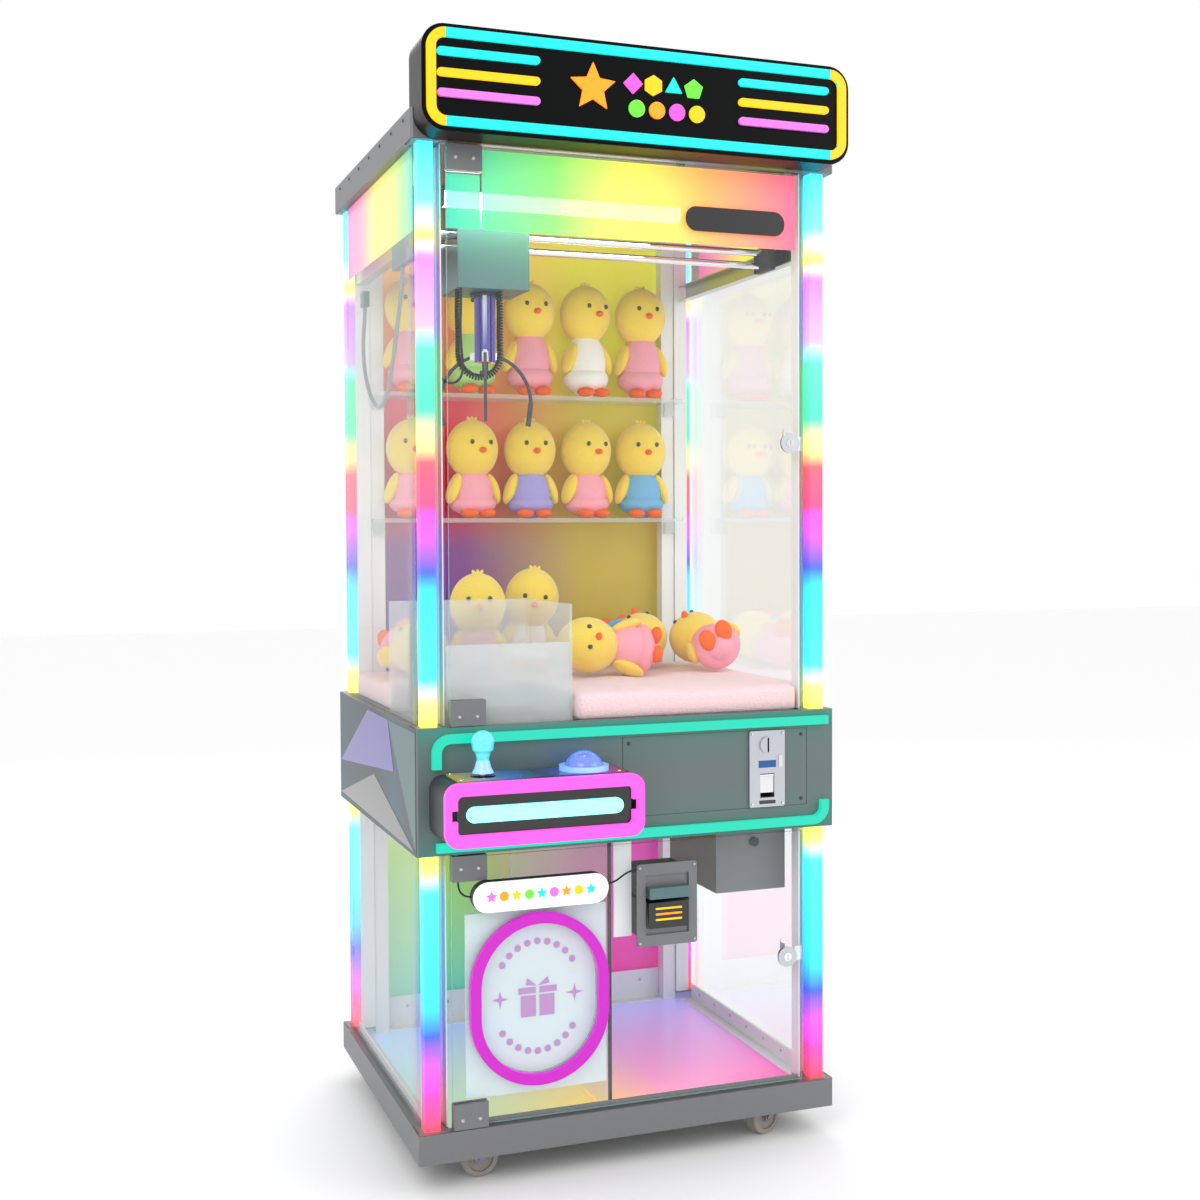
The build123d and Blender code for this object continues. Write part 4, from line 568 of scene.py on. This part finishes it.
class CLAWCRANE_OT_cords(bpy.types.Operator):
    """Cables of the rail, trolley, claw and sign"""

    bl_idname = "claw_crane.cords"
    bl_label = "Cords"

    def execute(self, context):
        cord_curve("rail_cable", GREY_ROUTE, 0.007, "cable_grey", "cabinet", "grey_cable")
        cord_curve("trolley_cable", BLACK_ROUTE, 0.004, "cable_black", "trolley", "black_cable")
        cord_curve("sign_wire_left", LEFT_SIGN_ROUTE, 0.003, "cable_black", "lower_door", "sign_cables")
        cord_curve("sign_wire_right", RIGHT_SIGN_ROUTE, 0.003, "cable_black", "lower_door", "sign_cables")
        self.coil(context.scene.claw_crane)
        self.lift_cord()
        return {"FINISHED"}

    def coil(self, settings):
        """Curly cable: a wire wound round its route."""
        path = smooth_route(COIL_ROUTE)
        lengths = [0.0]
        for before, here in zip(path, path[1:]):
            lengths.append(lengths[-1] + (here - before).length)
        total = lengths[-1]
        wound = 0.006 - settings.wire_radius
        steps = int(total / settings.coil_pitch * 12)
        shape = bmesh.new()
        rings = []
        index = 0
        for step in range(steps + 1):
            at = total * step / steps
            while index < len(path) - 2 and lengths[index + 1] < at:
                index += 1
            along = (path[index + 1] - path[index]).normalized()
            centre = path[index] + along * (at - lengths[index])
            side = along.cross(Vector((0, 1, 0))).normalized()
            depth = along.cross(side)
            turn = 2 * pi * at / settings.coil_pitch
            out = side * cos(turn) + depth * sin(turn)
            rings.append(
                [
                    shape.verts.new(
                        centre + out * (wound + settings.wire_radius * cos(a)) + along * settings.wire_radius * sin(a)
                    )
                    for a in (2 * pi * k / 6 for k in range(6))
                ]
            )
        for before, here in zip(rings, rings[1:]):
            for k in range(6):
                shape.faces.new((before[k], before[(k + 1) % 6], here[(k + 1) % 6], here[k]))
        shape.faces.new(rings[0])
        shape.faces.new(rings[-1])
        made = piece("claw_coil", shape, None, ["cable_black"], smooth=True)
        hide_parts("claw_cable")
        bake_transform(made)

    def lift_cord(self):
        """Cord that carries the claw."""
        shape = bmesh.new()
        x, y = CLAW_AXIS
        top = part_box("trolley_box")[0].z
        bmesh.ops.create_cone(
            shape, cap_ends=True, segments=16, radius1=0.0025, radius2=0.0025, depth=0.006,
            matrix=Matrix.Translation((x, y, top - 0.0005)),
        )
        made = piece("lift_cord", shape, None, ["cable_black"])
        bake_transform(made)


class CLAWCRANE_OT_cabinet(bpy.types.Operator):
    """Finishes of the cabinet, base, castors and canopy"""

    bl_idname = "claw_crane.cabinet"
    bl_label = "Cabinet finishes"

    def execute(self, context):
        for node in ("base_tray", "top_frame", "playfield_deck", "cash_box"):
            dress(node, "steel")
        # the floor panel takes its print with the painted glow
        dress("floor_panel", "floor_print_painted_glow")
        for number in range(1, 5):
            dress(f"caster_fork_{number}", "fork")
            dress(f"caster_wheel_{number}", "wheel")
        dress("inner_frame", "white_metal")
        dress("led_bars", "led")
        dress("post_covers", "cover")
        dress("side_glass", "side_glass")
        dress("back_panels", "back", lambda c, n: "back_plain" if n.y > 0.5 else None)

        def shell(c, n):
            if n.x < -0.9 and c.x < -0.359:
                return "side_print"
            # the front face takes the console front: grey with the strips' light painted on near its edges
            return "console_front" if n.y < -0.9 and c.y < FRONT + 0.001 else None

        dress("console_shell", "steel", shell)
        dress("shelves", "acrylic")
        dress("prize_chute", "acrylic", lambda c, n: "black" if c.y < FRONT + 0.0199 else None)
        dress("electronics", "crane")
        dress("lamp", "black", lambda c, n: "white_light" if -0.2935 < c.x < 0.1055 else None)
        return {"FINISHED"}


class CLAWCRANE_OT_console(bpy.types.Operator):
    """Finishes of the console, controls and payment inputs"""

    bl_idname = "claw_crane.console"
    bl_label = "Console finishes"

    def execute(self, context):
        middle = (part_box("control_box")[0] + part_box("control_box")[1]) / 2

        def neon(c, n):
            if c.y > FRONT - 0.02:
                return "teal"
            if abs(c.z - middle.z) < 0.0125 and -0.307 < c.x < -0.055:
                return "ice"
            return "pink"

        dress("console_neon", "teal", neon)
        dress("control_box", "steel_dark")
        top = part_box("control_box")[1].z

        def panels(c, n):
            if c.y < FRONT - 0.0875 and c.z < top:
                return "panel_black"
            # the top face takes the control top print with its painted glow
            return "button_rim" if c.z > top + 0.0021 else "top_print"

        dress("control_panels", "panel_black", panels)
        dress("joystick_gimbal", "black")
        dress("joystick", "chrome", lambda c, n: "knob" if c.z > top + 0.026 else ("button_rim" if c.z > top + 0.007 else None))
        dress("push_button", "button")
        # the coin panel takes the same grey with the strips' light painted on near its edges
        dress("coin_panel", "console_front")
        low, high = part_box("coin_acceptor")
        display_z = (low.z + high.z) / 2 + 0.008

        def acceptor(c, n):
            if c.y > FRONT + 0.001:
                return "black"
            if abs(c.z - display_z) < 0.0065 and n.y < -0.9 and c.y > low.y + 0.001:
                return "display"
            return None

        dress("coin_acceptor", "satin", acceptor)
        dress("coin_return_flap", "chrome")
        x = (low.x + high.x) / 2
        z = (low.z + high.z) / 2
        front = FRONT - 0.005
        prism("coin_display_glass", oblong(x, z + 0.008, 0.030, 0.010, 0.001), front, front + 0.0012, "cabinet", "display")
        prism("coin_push_rod", oblong(x + 0.0235, z + 0.012, 0.006, 0.020, 0.002), front - 0.003, front, "cabinet", "chrome")
        prism("coin_lever_slot", oblong(x, z - 0.0555, 0.030, 0.006, 0.002), front - 0.0006, front, "cabinet", "black")
        corner_x, corner_z = 0.028, 0.0585
        fasteners(
            "acceptor_screws",
            [(x + sx * corner_x, front - 0.0005, z + sz * corner_z) for sx in (-1, 1) for sz in (-1, 1)],
            (0, -1, 0), 0.0026, 0.0012, "chrome", "cabinet",
        )
        low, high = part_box("coin_panel")
        fasteners(
            "coin_panel_screws",
            [(px, FRONT - 0.0001, pz) for px in (low.x + 0.010, high.x - 0.010) for pz in (low.z + 0.010, high.z - 0.010)],
            (0, -1, 0), 0.003, 0.0014, "steel_dark", "cabinet",
        )
        low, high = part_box("control_box")
        fasteners(
            "control_top_screws",
            [
                (px, py, top + 0.0022)
                for px in (low.x + 0.030, high.x - 0.034)
                for py in (FRONT - 0.078, FRONT - 0.012)
            ],
            (0, 0, 1), 0.0028, 0.0014, "chrome", "cabinet",
        )
        return {"FINISHED"}


class CLAWCRANE_OT_console_print(bpy.types.Operator):
    """Triangle print on the left side of the console"""

    bl_idname = "claw_crane.console_print"
    bl_label = "Console side print"

    def execute(self, context):
        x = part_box("console_shell")[0].x
        shapes = (
            ("side_wedge_teal", [(-0.250, 0.535), (-0.250, 0.720), (-0.06, 0.720)], "crane"),
            ("side_wedge_blue", [(-0.06, 0.720), (0.100, 0.720), (0.345, 0.600), (-0.10, 0.640)], "claw_purple"),
            ("side_wedge_black", [(-0.240, 0.535), (0.050, 0.615), (0.345, 0.540)], "panel_black"),
        )
        for name, outline, finish in shapes:
            prism(name, outline, x - 0.0004, x, "cabinet", finish, axis="x")
        return {"FINISHED"}


class CLAWCRANE_OT_sign(bpy.types.Operator):
    """Finishes of the sign on top and of the films below it"""

    bl_idname = "claw_crane.sign"
    bl_label = "Sign and valances"

    def execute(self, context):
        dress("sign_box", "sign")
        low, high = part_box("sign_box")
        middle = (low.z + high.z) / 2
        palette = ("pink", "yellow", "cyan", "green", "orange")

        def lights(c, n):
            if -0.135 < c.x < 0.120 and abs(c.z - middle) < 0.055:
                if c.x < -0.045:
                    return "orange"
                return palette[int((c.x + 0.045) / 0.034 + (3 if c.z < middle else 0)) % len(palette)]
            if abs(c.z - middle) < 0.053 and abs(c.x) < 0.335:
                return "cyan" if c.z > middle + 0.024 else ("yellow" if c.z > middle - 0.008 else "magenta")
            return "cyan" if -0.253 < c.x < 0.238 else "yellow"

        dress("sign_lights", "cyan", lights)
        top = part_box("upper_door_glass")[1].z - 0.001
        bottom = CANOPY_Z - 0.130
        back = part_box("upper_door_glass")[1].y
        outline = [(-0.246, bottom), (0.295, bottom), (0.295, top), (-0.246, top)]
        prism("door_valance", outline, back + 0.0002, back + 0.0006, "upper_door", "valance")
        prism("door_valance_edge", [(-0.303, bottom), (-0.249, bottom), (-0.249, bottom + 0.084), (-0.303, bottom + 0.084)],
              back + 0.0002, back + 0.0006, "upper_door", "valance")
        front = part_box("upper_door_glass")[0].y
        prism(
            "name_pill", oblong(0.183, CANOPY_Z - 0.090, 0.178, 0.040, 0.019), front - 0.0006, front, "upper_door", "label"
        )
        for side, name in ((-1, "left"), (1, "right")):
            inner = side * (0.346 - 0.0006)
            outline = [(FRONT + 0.052, bottom), (REAR - 0.052, bottom), (REAR - 0.052, CANOPY_Z), (FRONT + 0.052, CANOPY_Z)]
            ends = sorted((inner, inner + side * 0.0004))
            prism(f"side_valance_{name}", outline, ends[0], ends[1], "cabinet", "side_valance", axis="x")
        return {"FINISHED"}


class CLAWCRANE_OT_doors(bpy.types.Operator):
    """Finishes of both doors, with the prize opening and its icons"""

    bl_idname = "claw_crane.doors"
    bl_label = "Doors"

    def execute(self, context):
        for node in ("upper_door_glass", "lower_door_glass"):
            dress(node, "glass", lambda c, n: "glass_edge" if abs(n.y) < 0.5 else None)

        def fittings(c, n):
            return "satin" if c.x > 0.2 else ("black" if c.x > -0.22 else None)

        dress("upper_door_fittings", "steel", fittings)
        dress("lower_door_fittings", "steel", fittings)
        dress("upper_door_lock", "chrome")
        dress("lower_door_lock", "chrome")
        dress("prize_ring", "magenta_ring", lambda c, n: "black" if c.y > FRONT + 0.0059 else None)
        dress("prize_flap", "flap")
        dress("pill_sign", "black", lambda c, n: "soft_white" if n.y < -0.9 else None)
        lock_x, lock_z = 0.247, CONSOLE_BOTTOM - 0.033

        def drawer(c, n):
            return "black" if (c.x - lock_x) ** 2 + (c.z - lock_z) ** 2 < 0.0095**2 and c.y < -0.178 else None

        dress("cash_drawer", "steel", drawer)
        low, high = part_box("bill_validator")
        slot_top = low.z + 0.089

        def validator(c, n):
            if c.y > FRONT + 0.0065:
                return "steel_dark"
            if c.y > FRONT + 0.0018:
                return "steel"
            return "crane" if c.z > slot_top - 0.0095 else "panel_black"

        dress("bill_validator", "steel", validator)
        x = (low.x + high.x) / 2
        for row, finish in enumerate(("yellow", "orange", "yellow")):
            z = low.z + 0.044 + 0.009 * row
            prism(f"bill_guide_{row + 1}", oblong(x, z, 0.046, 0.003, 0.001), FRONT - 0.0050, FRONT - 0.0040, "lower_door", finish)
        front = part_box("pill_sign")[0].y
        low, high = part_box("pill_sign")
        middle = (low.z + high.z) / 2
        for dot, finish in enumerate(("magenta", "orange", "yellow", "green", "cyan", "magenta", "orange", "yellow", "cyan")):
            centre = low.x + 0.030 + 0.0205 * dot
            outline = star(centre, middle, 0.0095, 0.0045, 5) if dot % 2 == 0 else oblong(centre, middle, 0.015, 0.015, 0.0074)
            prism(f"pill_mark_{dot + 1}", outline, front - 0.0006, front, "lower_door", finish)
        self.icons()
        return {"FINISHED"}

    def icons(self):
        """Gift box, stars and dots printed on the flap."""
        low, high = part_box("prize_ring")
        x, z = (low.x + high.x) / 2, (low.z + high.z) / 2
        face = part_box("prize_flap")[0].y
        near = face - 0.0004
        parts = [
            [(x - 0.028, z - 0.032), (x - 0.003, z - 0.032), (x - 0.003, z + 0.002), (x - 0.028, z + 0.002)],
            [(x + 0.003, z - 0.032), (x + 0.028, z - 0.032), (x + 0.028, z + 0.002), (x + 0.003, z + 0.002)],
            [(x - 0.032, z + 0.005), (x - 0.003, z + 0.005), (x - 0.003, z + 0.015), (x - 0.032, z + 0.015)],
            [(x + 0.003, z + 0.005), (x + 0.032, z + 0.005), (x + 0.032, z + 0.015), (x + 0.003, z + 0.015)],
            [(x - 0.001, z + 0.017), (x - 0.020, z + 0.019), (x - 0.017, z + 0.030)],
            [(x + 0.001, z + 0.017), (x + 0.017, z + 0.030), (x + 0.020, z + 0.019)],
            star(x - 0.062, z, 0.014, 0.004, 4),
            star(x + 0.062, z, 0.014, 0.004, 4),
        ]
        for number, outline in enumerate(parts, start=1):
            prism(f"prize_icon_{number}", outline, near, face, "prize_flap", "mauve")
        for half in (-1, 1):
            for step in range(9):
                turn = radians(90 * half + 13 * (step - 4))
                centre = (x + 0.074 * cos(turn), z + 0.088 * sin(turn))
                prism(
                    f"prize_dot_{'low' if half < 0 else 'high'}_{step + 1}",
                    oblong(*centre, 0.011, 0.011, 0.0054), near, face, "prize_flap", "mauve",
                )


class CLAWCRANE_OT_crane(bpy.types.Operator):
    """Finishes of rails, bridge, trolley and claw"""

    bl_idname = "claw_crane.crane"
    bl_label = "Crane"

    def execute(self, context):
        dress("gantry_rails", "satin")
        dress("gantry_bridge", "black", lambda c, n: "chrome" if abs(c.x) < 0.2955 else None)
        dress("trolley_box", "crane")
        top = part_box("claw_head")[1].z

        def head(c, n):
            if c.z > top - 0.030:
                return "black"
            if top - 0.034 < c.z:
                return "white_metal"
            return "claw_purple" if c.z > top - 0.085 else None

        dress("claw_head", "chrome", head)
        for number in range(1, 4):
            dress(f"claw_finger_{number}", "black")
        dress("claw_plunger", "black")
        return {"FINISHED"}


class CLAWCRANE_OT_bed(bpy.types.Operator):
    """Padded bed under the prizes"""

    bl_idname = "claw_crane.bed"
    bl_label = "Padded bed"

    def execute(self, context):
        settings = context.scene.claw_crane
        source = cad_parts["plush_bed"]
        copy = bpy.data.objects.new("padded_bed_base", source.data.copy())
        context.scene.collection.objects.link(copy)
        weld = copy.modifiers.new("Weld", "WELD")
        weld.merge_threshold = 0.0001
        voxels = copy.modifiers.new("Remesh", "REMESH")
        voxels.mode = "VOXEL"
        voxels.voxel_size = 0.007
        rounded = copy.modifiers.new("Smooth", "SMOOTH")
        rounded.factor = 0.6
        rounded.iterations = 6
        graph = context.evaluated_depsgraph_get()
        mesh = bpy.data.meshes.new_from_object(copy.evaluated_get(graph), depsgraph=graph)
        bpy.data.objects.remove(copy)
        low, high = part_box("plush_bed")
        shift = Vector((settings.seed, 0, 0))
        for vertex in mesh.vertices:
            lift = (vertex.co.z - low.z) / (high.z - low.z)
            wave = noise.noise(vertex.co * 14 + shift) + 0.5 * noise.noise(vertex.co * 34 + shift)
            vertex.co.z += settings.pile_height * lift * wave
        mesh.polygons.foreach_set("use_smooth", [True] * len(mesh.polygons))
        mesh.materials.clear()
        mesh.materials.append(finish_set()["bed"])
        mesh.name = "padded_bed"
        made = bpy.data.objects.new("padded_bed", mesh)
        context.scene.collection.objects.link(made)
        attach(made, "cabinet")
        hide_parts("plush_bed")
        return {"FINISHED"}


CHICK_MATERIALS = ("fur_yellow", "beak", "eye")


def chick_mesh(height):
    """Plain plush chick standing on the origin, facing -Y: the head keeps its size, the body takes the rest."""
    shape = bmesh.new()
    head = height - 0.064
    neck = head - 0.040
    ball(shape, (0, 0, neck * 0.52), (0.040, 0.038, neck * 0.55), 3)
    ball(shape, (0, 0, neck * 0.30), (0.0455, 0.0430, neck * 0.24), 3)
    ball(shape, (0, 0, head), (0.0500, 0.0480, 0.0565), 0, segments=40)
    for side in (-1, 1):
        ball(shape, (side * 0.0400, -0.004, neck * 0.62), (0.0110, 0.0200, 0.031), 0, turn=-side * 0.35)
        ball(shape, (side * 0.018, -0.028, 0.0092), (0.0155, 0.021, 0.0090), 1)
        ball(shape, (side * 0.0190, -0.0440, head + 0.012), (0.0042, 0.0036, 0.0046), 2, segments=16)
    ball(shape, (0, -0.0485, head - 0.003), (0.0070, 0.0110, 0.0055), 1, segments=20)
    for lean in (-0.5, 0, 0.5):
        ball(shape, (lean * 0.012, 0.0, height - 0.0085), (0.0035, 0.0035, 0.0075), 0, turn=lean, segments=16)
    return shape


class CLAWCRANE_OT_toys(bpy.types.Operator):
    """Plush chicks on the shelves and on the bed"""

    bl_idname = "claw_crane.toys"
    bl_label = "Plush chicks"

    def execute(self, context):
        smocks = ("cloth_pink", "cloth_pink", "cloth_lilac", "cloth_pink", "cloth_blue")
        upper = ("cloth_pink", "cloth_green", "cloth_pink", "cloth_white", "cloth_pink")
        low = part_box("shelf_toys")[0]
        y = REAR - 0.063
        for shelf, (z, height, colours) in enumerate(
            ((low.z, 0.195, smocks), (CONSOLE_TOP + 0.5612, 0.225, upper)), start=1
        ):
            for column, smock in enumerate(colours):
                turn = radians((-9, 6, -4, 8, -6)[column] + 3 * shelf)
                place = Matrix.Translation(((column - 2) * 0.115, y, z)) @ Matrix.Rotation(turn, 4, "Z")
                self.chick(f"shelf_{shelf}_chick_{column + 1}", height, smock, place, "shelf_toys")
        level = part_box("plush_bed")[1].z
        poses = (
            (-0.270, 0.238, 0.044, 84, 2, 205, "cloth_pink"),
            (-0.158, 0.108, 0.0003, 0, -12, 0, "cloth_pink"),
            (-0.040, 0.206, 0.008, 10, 20, -30, "cloth_white"),
            (0.158, 0.045, 0.044, 84, -90, 112, "cloth_pink"),
            (0.180, 0.302, 0.044, 84, 0, 190, "cloth_blue"),
            (0.285, 0.020, 0.044, 84, 180, 150, "cloth_pink"),
        )
        for number, (x, py, rise, lean, turn, roll, smock) in enumerate(poses, start=1):
            place = (
                Matrix.Translation((x, py, level + rise))
                @ Matrix.Rotation(radians(turn), 4, "Z")
                @ Matrix.Rotation(radians(lean), 4, "X")
                @ Matrix.Rotation(radians(roll), 4, "Z")
            )
            self.chick(f"bed_chick_{number}", 0.195, smock, place, "bed_toys")
        return {"FINISHED"}

    def chick(self, name, height, smock, place, node):
        shape = chick_mesh(height)
        shape.transform(place)
        made = piece(name, shape, "cabinet", (*CHICK_MATERIALS, smock), smooth=True)
        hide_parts(node)


class CLAWCRANE_OT_fasteners(bpy.types.Operator):
    """Rivets and screws of the cabinet and doors"""

    bl_idname = "claw_crane.fasteners"
    bl_label = "Fasteners"

    def execute(self, context):
        rail_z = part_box("floor_panel")[1].z + 0.018
        span = [FRONT + 0.08 + 0.072 * i for i in range(7)]
        fasteners("base_angle_rivets_right", [(0.3378, y, rail_z) for y in span], (-1, 0, 0), 0.003, 0.0012, "satin", "cabinet")
        fasteners("base_angle_rivets_left", [(-0.3378, y, rail_z) for y in span], (1, 0, 0), 0.003, 0.0012, "satin", "cabinet")
        fasteners(
            "base_angle_rivets_rear", [(-0.24 + 0.08 * i, REAR - 0.0222, rail_z + 0.02) for i in range(7)],
            (0, -1, 0), 0.003, 0.0012, "satin", "cabinet",
        )
        for node, body in (("upper_door_fittings", "upper_door"), ("lower_door_fittings", "lower_door")):
            low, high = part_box(node)
            y = FRONT + 0.0008
            points = [(-0.290, y, low.z + 0.018), (-0.262, y, low.z + 0.018), (-0.290, y, high.z - 0.026), (-0.262, y, high.z - 0.026)]
            fasteners(f"{body}_clip_screws", points, (0, -1, 0), 0.0032, 0.0012, "satin", body)
        low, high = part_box("bill_validator")
        points = [(x, FRONT + 0.0018, z) for x in (low.x + 0.005, high.x - 0.005) for z in (low.z + 0.006, high.z - 0.006)]
        fasteners("validator_screws", points, (0, -1, 0), 0.0026, 0.0012, "satin", "lower_door")
        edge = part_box("top_frame")[1].z
        fasteners(
            "roof_rivets_left", [(-0.3602, FRONT + 0.05 + 0.085 * i, edge - 0.010) for i in range(7)],
            (-1, 0, 0), 0.003, 0.0012, "steel_dark", "cabinet",
        )
        return {"FINISHED"}


class CLAWCRANE_OT_stage(bpy.types.Operator):
    """Pale floor, surroundings and soft studio lights"""

    bl_idname = "claw_crane.stage"
    bl_label = "Stage"

    def execute(self, context):
        settings = context.scene.claw_crane
        shape = bmesh.new()
        bmesh.ops.create_grid(shape, x_segments=1, y_segments=1, size=14)
        floor = piece("stage_floor", shape, None, [])
        floor.data.materials.append(surface("studio_floor", "fbfbfb", 0.6))
        world = bpy.data.worlds.new("Studio")
        world.use_nodes = True
        world.node_tree.nodes["Background"].inputs["Color"].default_value = colour("ffffff")
        world.node_tree.nodes["Background"].inputs["Strength"].default_value = settings.world_strength
        context.scene.world = world
        context.scene.view_settings.view_transform = "Standard"
        for name, place, aim, size, power in (
            ("key", (-2.6, -3.0, 3.2), (0, 0, 0.9), 2.4, 45),
            ("fill", (2.8, -2.4, 2.2), (0, 0, 0.9), 2.4, 25),
            ("back", (0.6, 3.0, 2.8), (0, 0, 1.0), 2.0, 30),
        ):
            data = bpy.data.lights.new(name, "AREA")
            data.size = size
            data.energy = power
            lamp = bpy.data.objects.new(name, data)
            context.scene.collection.objects.link(lamp)
            lamp.location = place
            lamp.rotation_mode = "QUATERNION"
            lamp.rotation_quaternion = (Vector(aim) - Vector(place)).to_track_quat("-Z", "Y")
        return {"FINISHED"}


OPERATORS = (
    CLAWCRANE_OT_camera,
    CLAWCRANE_OT_cords,
    CLAWCRANE_OT_cabinet,
    CLAWCRANE_OT_console,
    CLAWCRANE_OT_console_print,
    CLAWCRANE_OT_sign,
    CLAWCRANE_OT_doors,
    CLAWCRANE_OT_crane,
    CLAWCRANE_OT_bed,
    CLAWCRANE_OT_toys,
    CLAWCRANE_OT_fasteners,
    CLAWCRANE_OT_stage,
)


class CLAWCRANE_PT_panel(bpy.types.Panel):
    """Lists the steps that build the looks"""

    bl_label = "Claw Crane"
    bl_idname = "CLAWCRANE_PT_panel"
    bl_space_type = "VIEW_3D"
    bl_region_type = "UI"
    bl_category = "Claw Crane"

    def draw(self, context):
        settings = context.scene.claw_crane
        for name in ("light_strength", "world_strength", "pile_height", "wire_radius", "coil_pitch", "seed"):
            self.layout.prop(settings, name)
        for operator in OPERATORS:
            self.layout.operator(operator.bl_idname)


CLASSES = (ClawCraneSettings, *OPERATORS, CLAWCRANE_PT_panel)


def register():
    for item in CLASSES:
        bpy.utils.register_class(item)
    bpy.types.Scene.claw_crane = PointerProperty(type=ClawCraneSettings)


def unregister():
    del bpy.types.Scene.claw_crane
    for item in reversed(CLASSES):
        bpy.utils.unregister_class(item)


def main():
    register()
    for operator in OPERATORS:
        group, name = operator.bl_idname.split(".")
        if getattr(getattr(bpy.ops, group), name)() != {"FINISHED"}:
            raise RuntimeError(f"{operator.bl_label} didn't finish")


if __name__ == "__main__":
    main()
